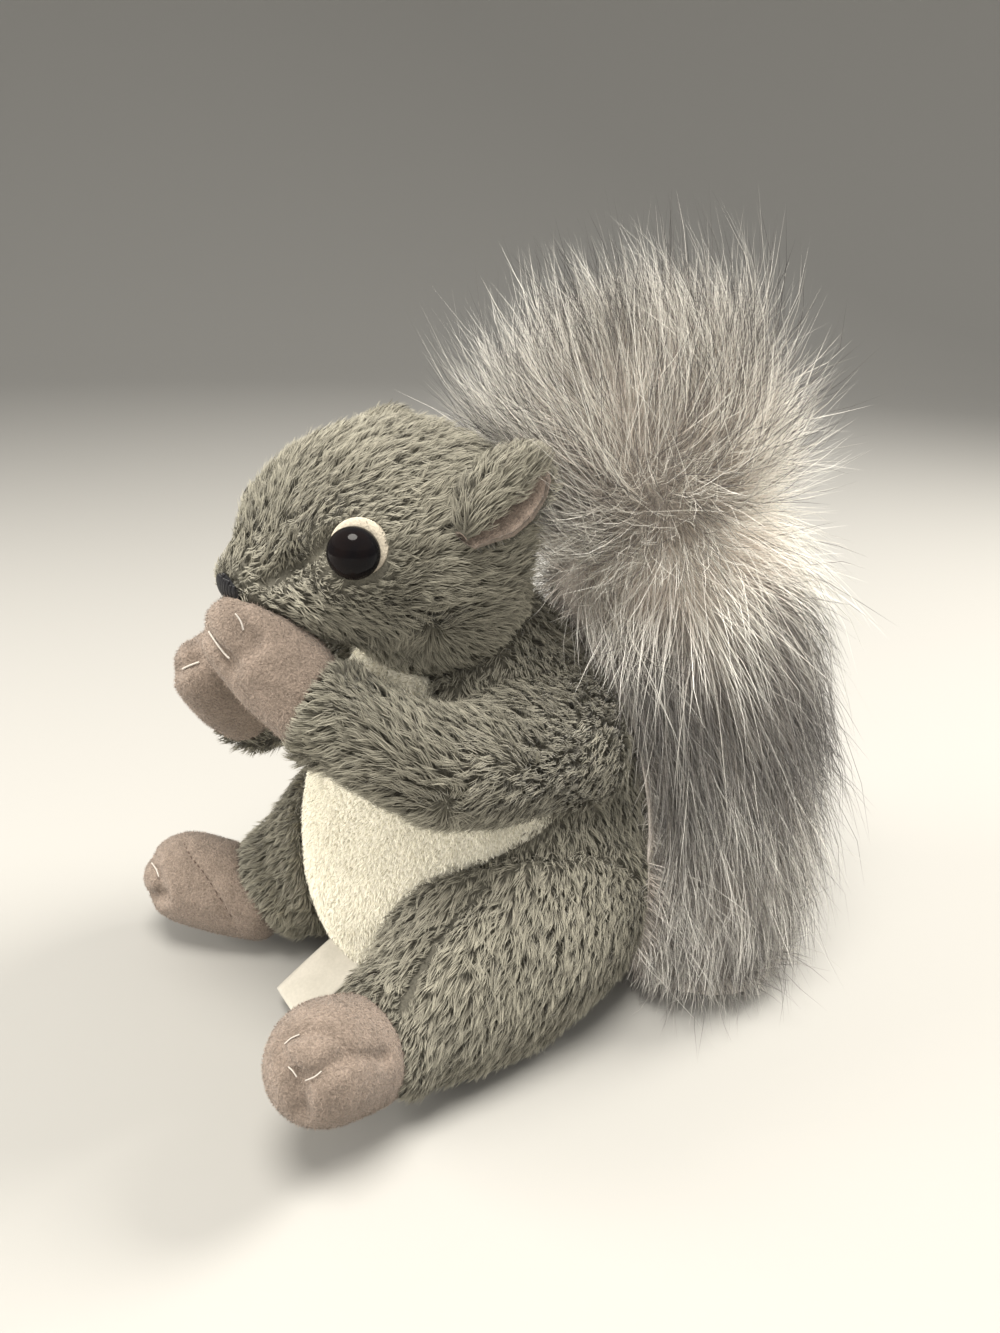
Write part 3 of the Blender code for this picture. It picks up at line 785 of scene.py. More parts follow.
@both_sides
def head_comb(points, normals):
    """Back from the nose, down over the cheek, and out from the dart and the swirl."""
    ways = unit(points - NOSE_SPOT)
    cheek = ease(0, CHEEK_DEPTH, CHEEK_TOP - points[:, 2])[:, None]
    ways = ways + DOWN * cheek * 0.5
    ways = away_from(ways, points, dart)
    return swirl(ways, points, cheek_swirl, CHEEK_SWIRL_REACH)


FACE_NODES = ("left_eye_ring", "right_eye_ring", "nose")
short_at_the_eye = shorter_near(FACE_NODES, near=0.5 * MM, far=9 * MM, least=0.7)


def short_on_the_face(points):
    """Shorter pile at the eyes and the nose, and along the darts."""
    return short_at_the_eye(points) * shorter_at(on_the_near_side(points), dart, DART_SHORT)


grow_pile(
    "head_pile", head, head_comb, grey_pile, "grey_plush", length=4.2 * MM, per_mm2=7.0, seed=11,
    shorter=short_on_the_face, keep=clear_of(dart, DART_SEAM),
)

# %% [markdown]
# ## The body
# The body is a pear of the same plush. Its pile hangs down the back and sides, and it swirls where
# panels meet under the arm. The belly is a separate panel of cream cloth with a very short pile.

# %% Sew the body and grow its pile
FLANK_SWIRL_PIXEL, FLANK_SWIRL_REACH = (585, 748), 8 * MM

flank_swirl = seen_at(FLANK_SWIRL_PIXEL, "body", "left_arm", "left_leg")
body = sewn_over("body", grain=2.0 * MM, depth=3.0 * MM)
body.show("body_cloth", grey_cloth, "grey_plush")


@both_sides
def body_comb(points, normals):
    """Down the back and sides, a little forward, and out from the swirl at the flank."""
    ways = DOWN + np.array([0, -0.25, 0]) + 0.3 * normals
    return swirl(unit(ways), points, flank_swirl, FLANK_SWIRL_REACH)


grow_pile("body_pile", body, body_comb, grey_pile, "grey_plush", length=4.6 * MM, per_mm2=4.6, seed=21)

# %% Fit the belly panel
PANEL_FRONT = 1.1 * MM

panel = sewn_over("belly_panel", grain=1.5 * MM, depth=0.5 * MM)
panel.show("belly_cloth", cream_cloth, "cream_plush", fill=0)


def one_way(way):
    """A comb that strokes all the pile the same way."""
    return lambda points, normals: np.repeat(way[None], len(points), axis=0)


def on_the_front(spots):
    """The outer face of the panel, not its hidden back."""
    inner = tree_of(("body",))
    return np.array([inner.find_nearest(p)[3] > PANEL_FRONT for p in spots.tolist()])


grow_pile(
    "belly_pile", panel, one_way(DOWN), cream_pile, "cream_plush", length=1.3 * MM, per_mm2=6.5, seed=31,
    width=0.16 * MM, lean=63, per_tuft=3, cling=0.12, shortest=0.8, unruly=0.16, keep=on_the_front,
)

# %% [markdown]
# ## Arms and legs
# Sleeves and thighs are tubes of the same plush. The pile of a sleeve is stroked towards the hand, and
# a thigh's runs down and forward to the foot. A seam crosses the near thigh and makes a soft fold.

# %% Sew and grow the limbs
ELBOW_SWIRL_PIXEL, ELBOW_SWIRL_REACH = (440, 818), 5 * MM
THIGH_FOLD_PIXELS = ((486, 880), (462, 903), (428, 943), (402, 1008))
THIGH_GROOVES = ((3.4 * MM, 1.2 * MM), (1.6 * MM, 1.5 * MM))
THIGH_SEAM, THIGH_SHORT, THIGH_GAP = 0.35 * MM, 0.45, 0.36 * MM

elbow_swirl = seen_at(ELBOW_SWIRL_PIXEL, "left_arm")
thigh_fold = seen_line(THIGH_FOLD_PIXELS, "left_leg")


def middle_of(node):
    """The middle of a node's box."""
    low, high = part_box(node)
    return np.array((low + high) / 2)


def towards(target, extra, swirl_at=None):
    """A comb that runs to a point, with something added."""
    def comb(points, normals):
        ways = unit(target - points) + extra
        if swirl_at is not None:
            ways = swirl(ways, points, swirl_at, ELBOW_SWIRL_REACH)
        return ways
    return comb


def parted(comb, line):
    """A comb whose pile also leans away from a fold."""
    return lambda points, normals: away_from(comb(points, normals), points, line)


def short_at_the_fold(points):
    """Shorter pile along the fold."""
    return shorter_at(points, thigh_fold, THIGH_SHORT)


for number, side in enumerate(("left", "right")):
    across = 1 if side == "left" else -1
    swirl_at = elbow_swirl * np.array([across, 1, 1])
    arm = sewn_over(side + "_arm", grain=1.4 * MM, depth=2.8 * MM)
    arm.show(side + "_arm_cloth", grey_cloth, "grey_plush")
    comb = towards(middle_of(side + "_hand"), DOWN * 0.35, swirl_at)
    coat = {"length": 4.4 * MM, "per_mm2": 6.6}
    grow_pile(side + "_arm_pile", arm, comb, grey_pile, "grey_plush", seed=41 + number, **coat)

    leg = sewn_over(side + "_leg", grain=1.5 * MM, depth=2.9 * MM)
    if side == "left":
        thigh_fold = fold_along(leg, thigh_fold, THIGH_GROOVES)
    leg.show(side + "_leg_cloth", grey_cloth, "grey_plush")
    comb = towards(middle_of(side + "_foot"), DOWN * 0.9)
    ways = {"least_gap": THIGH_GAP}
    if side == "left":
        comb = parted(comb, thigh_fold)
        ways["keep"] = clear_of(thigh_fold, THIGH_SEAM)
        ways["shorter"] = short_at_the_fold
    grow_pile(side + "_leg_pile", leg, comb, grey_pile, "grey_plush", seed=51 + number, **coat, **ways)

# %% [markdown]
# ## Threads and turned shapes
# A thread, a stitch and a moulded stud have one thing in common: they are rings of points, one after
# another, closed at both ends. A thread's rings follow a smooth curve, and a stud's share one axis.

# %% Smooth lines, tubes and turned shapes
def smooth_line(points, count):
    """A smooth curve through a few points."""
    grid = np.linspace(0, len(points) - 1, count)
    k = np.minimum(grid.astype(int), len(points) - 2)
    t = (grid - k)[:, None]
    before, after = points[np.maximum(k - 1, 0)], points[np.minimum(k + 2, len(points) - 1)]
    a, b = points[k], points[k + 1]
    return (
        a + t * ((b - before) / 2 + t * (
            before - 2.5 * a + 2 * b - after / 2 + t * (1.5 * (a - b) + (after - before) / 2)
        ))
    )


def ring_faces(rows, around):
    """Faces over some rings, one after another, and fans to the two end points that follow them."""
    k = np.arange(around)
    after = (k + 1) % around
    band = np.stack([k, after, around + after, around + k], axis=1)
    strips = [row * around + band for row in range(rows - 1)]
    first, last, top = rows * around, rows * around + 1, (rows - 1) * around
    fans = np.concatenate([
        np.stack([np.full(around, first), after, k], axis=1),
        np.stack([np.full(around, last), top + k, top + after], axis=1),
    ])
    return [np.concatenate(strips), fans]


def tube(line, radii, around):
    """Rings of points along a line, closed at both ends by fans."""
    ahead = unit(np.gradient(line, axis=0))
    side = unit(np.cross(ahead, np.array([0.0, 1.0, 0.2])))
    over = np.cross(ahead, side)
    turn = np.linspace(0, 2 * math.pi, around, endpoint=False)
    ring = side[:, None] * np.cos(turn)[None, :, None] + over[:, None] * np.sin(turn)[None, :, None]
    points = (line[:, None] + ring * radii[:, None, None]).reshape(-1, 3)
    return np.concatenate([points, line[:1], line[-1:]]), ring_faces(len(line), around)


def lathe(outline, centre, axis, around):
    """The points and faces of an outline of radius and height spun about an axis."""
    side = unit(np.cross(axis, np.array([0.3, 0.1, 1.0])))
    over = np.cross(axis, side)
    turn = np.linspace(0, 2 * math.pi, around, endpoint=False)
    ring = side * np.cos(turn)[:, None] + over * np.sin(turn)[:, None]
    points = np.concatenate([centre + ring * r + axis * h for r, h in outline])
    ends = np.stack([centre + axis * outline[0][1], centre + axis * outline[-1][1]])
    return np.concatenate([points, ends]), ring_faces(len(outline), around)


print("two rings of eight points have", len(ring_faces(2, 8)[0]), "faces between them")

# %% [markdown]
# ## Hands and feet
# The paws are sewn from a brushed suede cloth with a very short nap, stuffed tight. Fingers and toes
# are only suggested: a white thread is pulled through the paw and makes a notch at its edge. The notch
# is pressed into the cloth first, and the thread is then laid in it. Tiny bits of nap stand along the
# outline and take the hard edge off.

# %% Thread and nap
NAP_WIDTH, NAP_ROOT = 0.12 * MM, 0.08 * MM

suede_cloth = new_finish(
    "taupe_suede", cloth_group,
    {"Main": (0.255, 0.203, 0.166), "Patches": (0.208, 0.165, 0.134), "Patch Scale": 300,
     "Grain Scale": 2300, "Grain": 0.6},
    roughness=0.9, sheen=0.15, bump=0.5 * MM, specular=0.2,
)
# Its darker root is painted shade and its paler tip a painted highlight, as on every fibre coat.
suede_nap = new_finish(
    "taupe_suede_nap", fibre_group,
    {"Root": (0.17, 0.132, 0.107), "Middle": (0.26, 0.207, 0.170), "Tip": (0.38, 0.315, 0.265),
     "Variety": 0.7},
    roughness=0.9, sheen=0.15, specular=0.2,
)
thread_finish = new_finish(
    "white_thread", cloth_group,
    {"Main": (0.52, 0.485, 0.44), "Patches": (0.43, 0.395, 0.36), "Grain Scale": 3000, "Grain": 0.2},
    roughness=0.5, bump=0.05 * MM,
)


def add_nap(name, cloth, material, length, per_mm2, seed):
    """Tiny hairs that lie every way over a brushed cloth."""
    spots, normals, _, dice = scatter(cloth, per_mm2, seed)
    count = len(spots)
    way = unit(normals * 0.55 + flat_on(normals, dice.normal(size=(count, 3))) * 1.0)
    reach = (length * dice.uniform(0.5, 1.2, count))[:, None]
    lines = np.stack([spots - normals * NAP_ROOT, spots + way * reach], axis=1)
    sides = unit(np.cross(way, normals)) * NAP_WIDTH
    piece = add_ribbons(name, lines, sides, (1.0,), dice.uniform(0.02, 0.98, count), material)
    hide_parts(cloth.node)


def add_thread(name, line, radius, material, around=8):
    """A round thread along a line."""
    points, faces = tube(smooth_line(line, 6 * len(line)), np.full(6 * len(line), radius), around)
    piece = add_shape(name, points, faces, material)


def sunk(node, pixels, depth):
    """The line that is seen at some pixels on a node, sunk into it by a depth."""
    found = [tree_of((node,)).find_nearest(p) for p in seen_line(pixels, node).tolist()]
    return np.array([np.array(spot) - np.array(normal) * depth for spot, normal, _, _ in found])


print("paw finishes:", suede_cloth.name, suede_nap.name, thread_finish.name)

# %% Sew the paws
PAW_DEPTH = 0.25 * MM
CREASE_DEEP, CREASE_NARROW = 0.6, 0.45
PAW_CREASES = {
    "left_hand": (
        (((232, 600), (237, 612), (243, 626), (251, 641)), 1.8, 2.4),
        (((251, 641), (246, 652), (236, 658), (226, 661)), 1.6, 1.1),
        (((196, 626), (203, 637), (212, 649), (222, 660), (228, 668)), 1.6, 2.2),
    ),
    "right_hand": (
        (((168, 673), (178, 668), (187, 664), (199, 659)), 1.5, 2.0),
        (((191, 632), (192, 643), (193, 654)), 1.3, 1.1),
    ),
    "left_foot": (
        (((277, 1048), (284, 1039), (298, 1032), (317, 1030), (335, 1034), (344, 1044), (348, 1056)),
         1.0, 1.3),
        (((299, 1085), (309, 1079), (322, 1073), (343, 1060), (365, 1056), (390, 1058)), 1.4, 2.4),
        (((294, 1080), (295, 1090), (298, 1104), (299, 1116)), 1.6, 3.0),
        (((279, 1060), (284, 1067), (290, 1075), (296, 1083)), 1.3, 1.8),
    ),
    "right_foot": (
        (((146, 852), (151, 862), (156, 876), (159, 897)), 1.6, 1.6),
        (((139, 900), (148, 899), (160, 897)), 1.6, 2.4),
        (((183, 838), (191, 856), (203, 872), (218, 897), (233, 923)), 0.8, 0.5),
    ),
}
PAW_THREADS = {
    "left_hand": (
        (((234, 608), (238, 617), (243, 628)), 1.5),
        (((202, 632), (210, 644), (220, 655), (226, 661)), 1.3),
    ),
    "right_hand": ((((176, 669), (186, 664), (197, 660)), 1.2),),
    "left_foot": (
        (((281, 1042), (288, 1036), (297, 1032)), 0.75),
        (((284, 1067), (289, 1073), (294, 1079)), 0.95),
        (((302, 1083), (312, 1078), (322, 1073)), 1.25),
    ),
    "right_foot": ((((149, 862), (154, 869), (157, 877)), 0.6),),
}
SOLE_SEAM = ((184, 842), (191, 856), (203, 872), (218, 897), (232, 921))
PAW_THREADS_WIDE = {
    "left_hand": 0.17 * MM, "right_hand": 0.17 * MM, "left_foot": 0.11 * MM, "right_foot": 0.14 * MM,
}
SEAM_THREAD = 0.13 * MM

for number, (node, creases) in enumerate(PAW_CREASES.items()):
    paw = sewn_over(node, grain=0.75 * MM, depth=PAW_DEPTH)
    for pixels, width, depth in creases:
        line = sunk(node, pixels, PAW_DEPTH)
        line = smooth_line(line, 4 * len(line))
        paw.crease(line, width * MM, CREASE_DEEP * depth * MM)
        paw.crease(line, CREASE_NARROW * width * MM, CREASE_DEEP * depth * MM)
    paw.soften(1)
    paw.show(node + "_cloth", suede_cloth, "pink_suede", fill=0.8)
    add_nap(node + "_nap", paw, suede_nap, length=0.85 * MM, per_mm2=7.5, seed=71 + number)
    for k, (pixels, depth) in enumerate(PAW_THREADS[node]):
        stitch, wide = sunk(node, pixels, depth * MM), PAW_THREADS_WIDE[node]
        add_thread(f"{node}_stitch_{k + 1}", stitch, wide, thread_finish)

# %% Run the seam across the far sole
SEAM_DEPTH, SEAM_STITCHES = 0.55 * MM, 13


def add_seam(name, line, stitches, share=0.55):
    """A row of short dark stitches along a line."""
    whole = smooth_line(line, 12 * stitches + 1)
    points, strips, fans, count = [], [], [], 0
    for k in range(stitches):
        part = whole[12 * k : 12 * k + int(12 * share) + 1]
        made, (strip, fan) = tube(part, np.full(len(part), SEAM_THREAD), 6)
        points.append(made)
        strips.append(strip + count)
        fans.append(fan + count)
        count += len(made)
    faces = [np.concatenate(strips), np.concatenate(fans)]
    piece = add_shape(name, np.concatenate(points), faces, seam_finish)


seam_finish = new_finish(
    "brown_seam_thread", cloth_group,
    {"Main": (0.11, 0.075, 0.06), "Patches": (0.08, 0.055, 0.045), "Grain Scale": 3000, "Grain": 0.2},
    roughness=0.7,
)
add_seam("right_foot_seam", sunk("right_foot", SOLE_SEAM, SEAM_DEPTH), SEAM_STITCHES)
print("paws sewn:", list(PAW_CREASES))

# %% [markdown]
# ## The eyes
# Each eye is a moulded stud: a polished black dome on a shank that locks into a washer inside the
# head. A cream felt ring lies under it, pushed up and back, so that it shows only as a crescent.
# A turned part is one outline spun about its axis, and the model's own stud gives that axis.

# %% Measure the model's studs
def node_points(node):
    """The points of a node."""
    return arrays(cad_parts[node].data)[0]


def eye_measures(side):
    """The stud's axis, its tip, and the radius and height of its dome, from its node."""
    lock = middle_of(side + "_eye_washer")
    stud = node_points(side + "_eye") - lock
    tip = stud[np.argmax(np.linalg.norm(stud, axis=1))]
    axis = unit(tip)
    heights = stud @ axis
    widths = np.linalg.norm(stud - heights[:, None] * axis, axis=1)
    foot = heights[widths > 0.98 * widths.max()].min()
    return lock, axis, widths.max(), foot, heights.max()


print("the near stud is", round(2 * eye_measures("left")[2] / MM, 2), "mm across in the model")

# %% Turn the studs and the felt rings
gloss_black = new_finish(
    "black_stud", cloth_group,
    {"Main": (0.004, 0.004, 0.005), "Patches": (0.007, 0.005, 0.005), "Grain": 0.1},
    roughness=0.07, specular=0.11,
)
felt_finish = new_finish(
    "cream_felt", cloth_group,
    {"Main": (0.50, 0.45, 0.365), "Patches": (0.44, 0.39, 0.315), "Grain Scale": 2600, "Grain": 0.4},
    roughness=0.95, bump=0.2 * MM,
)
washer_finish = new_finish(
    "washer_plastic", cloth_group,
    {"Main": (0.70, 0.70, 0.66), "Patches": (0.66, 0.66, 0.62), "Grain": 0.05}, roughness=0.5,
)

EYE_SINK = {"left": 0.2 * MM, "right": 1.1 * MM}
EYE_SHIFT, RING_SHIFT = np.array([0, 0.5, 1.3]) * MM, np.array([0, 0.95, 1.55]) * MM
DOME_SHARE = 0.93
DOME_TURNS = np.radians(np.linspace(-14, 88, 26))
SHANK_RADIUS, SHANK_END, RIM_DROP = 1.6 * MM, -3.5 * MM, 0.2 * MM
FELT_SECTION = ((3.0, -0.4), (4.35, -0.4), (4.55, 0.0), (4.35, 0.4), (3.0, 0.5))

for side in ("left", "right"):
    lock, axis, dome_radius, foot, crown = eye_measures(side)
    lock = lock + EYE_SHIFT - axis * EYE_SINK[side]
    dome_radius = dome_radius * DOME_SHARE
    swell = crown - foot
    outline = [(SHANK_RADIUS, SHANK_END), (SHANK_RADIUS, foot - RIM_DROP)]
    outline += [(0.9 * dome_radius, foot - 0.75 * RIM_DROP)]
    outline += [(dome_radius * math.cos(a), foot + max(math.sin(a), -0.05) * swell) for a in DOME_TURNS]
    stud = add_shape(side + "_eye_stud", *lathe(outline, lock, axis, 72), gloss_black)
    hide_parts(side + "_eye")
    felt = [(radius * MM, height * MM) for radius, height in FELT_SECTION]
    ring_middle = middle_of(side + "_eye_ring") + RING_SHIFT - axis * EYE_SINK[side]
    ring = add_shape(side + "_eye_felt", *lathe(felt, ring_middle, axis, 64), felt_finish)
    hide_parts(side + "_eye_ring")
    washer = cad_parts[side + "_eye_washer"]
    washer.data.materials.clear()
    washer.data.materials.append(washer_finish)
    print(side, "dome:", round(2 * dome_radius / MM, 2), "mm across,", round(swell / MM, 2), "mm high")

# %% [markdown]
# ## The nose
# The nose is a block of black thread, sewn in satin stitch over a small pad. Each stitch is a thread
# that runs down the pad from top to bottom, side by side with the next.

# %% Stitch the nose
NOSE_STITCHES = 11

black_thread = new_finish(
    "black_thread", cloth_group,
    {"Main": (0.012, 0.012, 0.014), "Patches": (0.022, 0.022, 0.024), "Grain Scale": 3000, "Grain": 0.4},
    roughness=0.42, bump=0.08 * MM, specular=0.5,
)


def satin_lines(node, count, steps):
    """Lines down the front of a small pad, side by side."""
    low, high = (np.array(v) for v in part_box(node))
    tree = tree_of((node,))
    lines = []
    for x in np.linspace(low[0], high[0], count + 2)[1:-1]:
        line = []
        for z in np.linspace(high[2], low[2], steps):
            spot = tree.ray_cast((x, low[1] - 5 * MM, z), (0, 1, 0))[0]
            if spot is not None:
                line.append(np.array(spot))
        if len(line) > 2:
            lines.append(np.array(line))
    return lines


NOSE_PIXEL = (233, 590)
NOSE_SWELL = np.array([1.7, 1.0, 1.15])
NOSE_THREAD, NOSE_PROUD = 0.36 * MM, 0.3 * MM
nose_seen = seen_at(NOSE_PIXEL, "head", "nose")
nose_middle = nose_seen * np.array([0.5, 1, 1]) - np.array([0, NOSE_PROUD, 0])
print("the nose is seen at", np.round(nose_seen / MM, 1), "mm")
print("its node is at", np.round(middle_of("nose") / MM, 1), "mm")


def puffed(points):
    """The nose swells sideways, where the thread bulges."""
    return nose_middle + (points - middle_of("nose")) * NOSE_SWELL


nose_lines = [puffed(line) for line in satin_lines("nose", NOSE_STITCHES, 9)]
pad_points, pad_faces = arrays(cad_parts["nose"].data)
nose_points, count = [puffed(pad_points)], len(pad_points)
strip_faces, fan_faces = [], []
for line in nose_lines:
    points, (strips, fans) = tube(smooth_line(line, 14), np.full(14, NOSE_THREAD), 8)
    nose_points.append(points)
    strip_faces.append(strips + count)
    fan_faces.append(fans + count)
    count += len(points)
nose = add_shape(
    "nose_stitches", np.concatenate(nose_points),
    [np.concatenate(strip_faces), np.concatenate([pad_faces] + fan_faces)], black_thread,
)
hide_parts("nose")
print("nose:", len(nose_lines), "stitches")

# %% [markdown]
# ## The ears
# An ear is two leaves sewn back to back, plush outside and suede inside, folded lengthwise so that it
# cups. The cupped leaf is made as a grid: along the ear, and round the fold. The outer face gets the
# pile, and the inner face is the suede lining.

# %% Fold the near ear
EAR_ALONG = np.array([-0.12, 0.82, 0.56])
EAR_OPENING = np.array([0.84, 0.40, -0.36])
EAR_LEAF_LENGTH = 19.5 * MM
EAR_CLOTH, EAR_SWELL = 1.3 * MM, 1.12
EAR_SUNK, EAR_FORWARD = 0.62, 0.2 * MM
EAR_SECTION = np.array((
    (1.2, -1.2), (0.6, -2.6), (-1.2, -3.8), (-3.2, -3.6), (-4.9, -2.2), (-5.4, 0.0),
    (-4.6, 1.8), (-2.8, 2.6), (-0.5, 2.6), (2.0, 2.3), (4.4, 2.0),
)) * EAR_SWELL * MM
EAR_TAPER = ((0, 0.16, 0.32, 0.55, 0.78, 0.93, 1), (0.35, 0.62, 0.92, 1.0, 0.85, 0.58, 0.2))


def ear_leaf(root, along, opening, inset, rows=26, columns=41):
    """A folded leaf from its root to its rounded tip. inset moves it to the inside of the fold."""
    across = np.cross(along, opening)
    section = smooth_line(EAR_SECTION, columns)
    ahead = unit(np.gradient(section, axis=0))
    inside = np.stack([ahead[:, 1], -ahead[:, 0]], axis=1) * inset
    points = []
    for share in np.linspace(0, 1, rows):
        size = np.interp(share, *EAR_TAPER)
        flat = (section + inside) * size
        middle = root + along * (share * (EAR_LEAF_LENGTH - inset * share))
        points.append(middle + flat[:, :1] * opening + flat[:, 1:] * across)
    return np.array(points)


def grid_faces(rows, columns, first, flip):
    """Faces over a grid of points."""
    r, c = np.meshgrid(np.arange(rows - 1), np.arange(columns - 1), indexing="ij")
    a = first + r.ravel() * columns + c.ravel()
    quads = np.stack([a, a + 1, a + columns + 1, a + columns], axis=1)
    return quads[:, ::-1] if flip else quads


def split_quads(quads):
    """Two triangles for each face of four corners."""
    return np.concatenate([quads[:, [0, 1, 2]], quads[:, [0, 2, 3]]])


along = unit(EAR_ALONG)
opening = flat_on(along[None], EAR_OPENING[None])[0]
ear_root = middle_of("left_ear") - along * (EAR_SUNK * EAR_LEAF_LENGTH) + opening * EAR_FORWARD
outer, inner = (ear_leaf(ear_root, along, opening, inset) for inset in (0, EAR_CLOTH))
near_ear = np.concatenate([outer.reshape(-1, 3), inner.reshape(-1, 3)])
print("ear leaf:", len(near_ear), "points")

# %% Sew both ears
for number, side in enumerate(("left", "right")):
    turn_over = np.array([1 if side == "left" else -1, 1, 1])
    every, ear_way = near_ear * turn_over, along * turn_over
    rows, columns = outer.shape[:2]
    flip = side == "left"
    outer_faces = split_quads(grid_faces(rows, columns, 0, flip))
    inner_faces = split_quads(grid_faces(rows, columns, rows * columns, not flip))
    rim = np.concatenate([
        np.arange(rows) * columns, (rows - 1) * columns + np.arange(1, columns),
        (np.arange(rows - 1)[::-1]) * columns + columns - 1, np.arange(columns - 2, 0, -1),
    ])
    after = np.roll(rim, -1)
    far = rows * columns
    rim_quads = np.stack([rim, after, after + far, rim + far], axis=1)
    rim_faces = split_quads(rim_quads if flip else rim_quads[:, ::-1])
    shell = add_shape(side + "_ear_leaf", every, [outer_faces], grey_cloth)
    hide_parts(side + "_ear")
    lining = add_shape(side + "_ear_lining_leaf", every, [inner_faces, rim_faces], suede_cloth)
    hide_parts(side + "_ear_lining")
    ear_skin = Cloth(side + "_ear", every, outer_faces, alone=True)
    ear_nap = Cloth(side + "_ear_lining", every, inner_faces, alone=True)
    grow_pile(
        side + "_ear_pile", ear_skin, one_way(ear_way), grey_pile, "grey_plush",
        length=3.6 * MM, per_mm2=7.5, seed=81 + number, lean=55, unruly=0.25,
    )
    add_nap(
        side + "_ear_nap", ear_nap, suede_nap, length=0.9 * MM, per_mm2=6.0, seed=91 + number,
    )

# %% [markdown]
# ## The label
# A short length of white satin tape is folded double and sewn into the seam between the legs. It is
# left bare. The tape is one strip: out from the seam, round a soft fold, and back.

# %% Fold the tape
LABEL_CLOTH, TAPE_FOLD, TAPE_RIPPLE = 0.3 * MM, 0.45 * MM, 0.35 * MM
FOLD_TURNS = np.radians((30, 60, 90, 120, 150))

satin_finish = new_finish(
    "white_satin", cloth_group,
    {"Main": (0.46, 0.435, 0.38), "Patches": (0.42, 0.397, 0.345), "Grain Scale": 1800, "Grain": 0.12},
    roughness=0.42, sheen=0.2, bump=0.04 * MM,
)
label_points = node_points("label")
label_middle = label_points.mean(axis=0)
_, _, label_ways = np.linalg.svd(label_points - label_middle, full_matrices=False)
label_long, label_up = label_ways[0], label_ways[2]
label_long = label_long * (1 if label_long[1] < 0 else -1)
label_up = label_up * (1 if label_up[2] > 0 else -1)
label_wide = np.cross(label_long, label_up)
half_long = np.abs((label_points - label_middle) @ label_long).max()
half_wide = np.abs((label_points - label_middle) @ label_wide).max()


def tape_line(steps):
    """The tape's path from the seam, round the fold and back, as shares along and above."""
    shares = np.linspace(0, 0.96, steps)
    out = [(-half_long + 2 * half_long * s, TAPE_FOLD * (0.6 + 0.4 * s)) for s in shares]
    turn = [(0.96 * half_long + TAPE_FOLD * math.sin(a), TAPE_FOLD * math.cos(a)) for a in FOLD_TURNS]
    back = [(x, -z) for x, z in reversed(out)]
    return out + turn + back


path = tape_line(16)
columns = 13
across = np.linspace(-half_wide, half_wide, columns)
tape = np.array([
    [
        label_middle + label_long * x + label_wide * w
        + label_up * (z + TAPE_RIPPLE * math.sin(w / half_wide * 2.2 + x / half_long * 1.4))
        for w in across
    ]
    for x, z in path
])
tape_faces = grid_faces(len(path), columns, 0, True)
label = add_shape("label_tape", tape.reshape(-1, 3), [tape_faces], satin_finish)
thick = label.modifiers.new("cloth", "SOLIDIFY")
thick.thickness = LABEL_CLOTH
thick.offset = 0
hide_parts("label")

# %% [markdown]
# ## The tail
# Long pile fur is another cloth: soft pale hairs with longer, darker guard hairs among them. The tail
# is a tube of it. A crease at two thirds of its height parts the hair, which stands up above the
# crease and hangs down below it. A thin core carries the hair, and each hair is long enough to reach
# the outer shape of the model's tail, so that shape decides how bushy it looks.

# %% Make the tail's core
TAIL_SPINE = np.array((
    (29.8, 37.6, 0.0), (28.6, 39.9, 9.8), (23.8, 45.6, 28.0), (17.0, 47.3, 53.2),
    (13.6, 43.9, 77.0), (11.9, 39.9, 91.0), (9.9, 33.6, 107.8), (7.8, 27.4, 124.6),
)) * MM
TAIL_CREASE = 93 * MM
CORE_DEPTH = 14 * MM

tail_finish = new_finish(
    "tail_core_cloth", cloth_group,
    {"Main": (0.62, 0.57, 0.52), "Patches": (0.50, 0.46, 0.42), "Grain": 0.5}, bump=0.3 * MM,
)
spine = smooth_line(TAIL_SPINE, 60)


def up_the_tail(points):
    """How high on the tail each point is, measured at its spine, and the way along the spine there."""
    _, foot = near_line(points, spine)
    k = np.clip(np.searchsorted(spine[:, 2], foot[:, 2]), 1, len(spine) - 1)
    return foot[:, 2], unit(spine[k] - spine[k - 1])


core = sewn_over(
    "tail", grain=2.3 * MM, depth=CORE_DEPTH, steps=7,
    free_from=0.8 * MM, free_at=5 * MM, past=("head",),
)
core.show("tail_core", tail_finish, "tail_pile", fill=0.5)

# %% Colour the hair
ROOT_STOPS = ((0, (0.46, 0.42, 0.38)), (0.24, (0.40, 0.37, 0.34)), (0.30, (0.20, 0.185, 0.175)),
              (1.0, (0.92, 0.85, 0.78)))
TIP_STOPS = ((0, (0.035, 0.034, 0.036)), (0.24, (0.11, 0.104, 0.10)), (0.30, (0.15, 0.145, 0.14)),
             (0.75, (0.70, 0.68, 0.63)), (1.0, (0.97, 0.95, 0.89)))


def make_hair_group():
    """Under hair goes from grey to pale. Guard hair is pale at the root and dark at the tip."""
    group = new_group("tail_hair_colour", [(NUMBER, "Dark Tips", 1.0)], [(COLOUR, "Color")])
    given, out = group.nodes["in"].outputs, group.nodes["out"]
    tone, along_hair = fibre_marks(group)
    ramps = []
    for stops in (ROOT_STOPS, TIP_STOPS):
        ramp = group.nodes.new("ShaderNodeValToRGB")
        while len(ramp.color_ramp.elements) < len(stops):
            ramp.color_ramp.elements.new(0.5)
        for element, (place, colour) in zip(ramp.color_ramp.elements, stops):
            element.position = place
            element.color = (*colour, 1)
        group.links.new(tone, ramp.inputs["Fac"])
        ramps.append(ramp.outputs["Color"])
    share = calc(group, "MULTIPLY", soft_step(group, along_hair, 0.12, 0.72), given["Dark Tips"])
    group.links.new(mix_colour(group, share, *ramps), out.inputs["Color"])
    return group


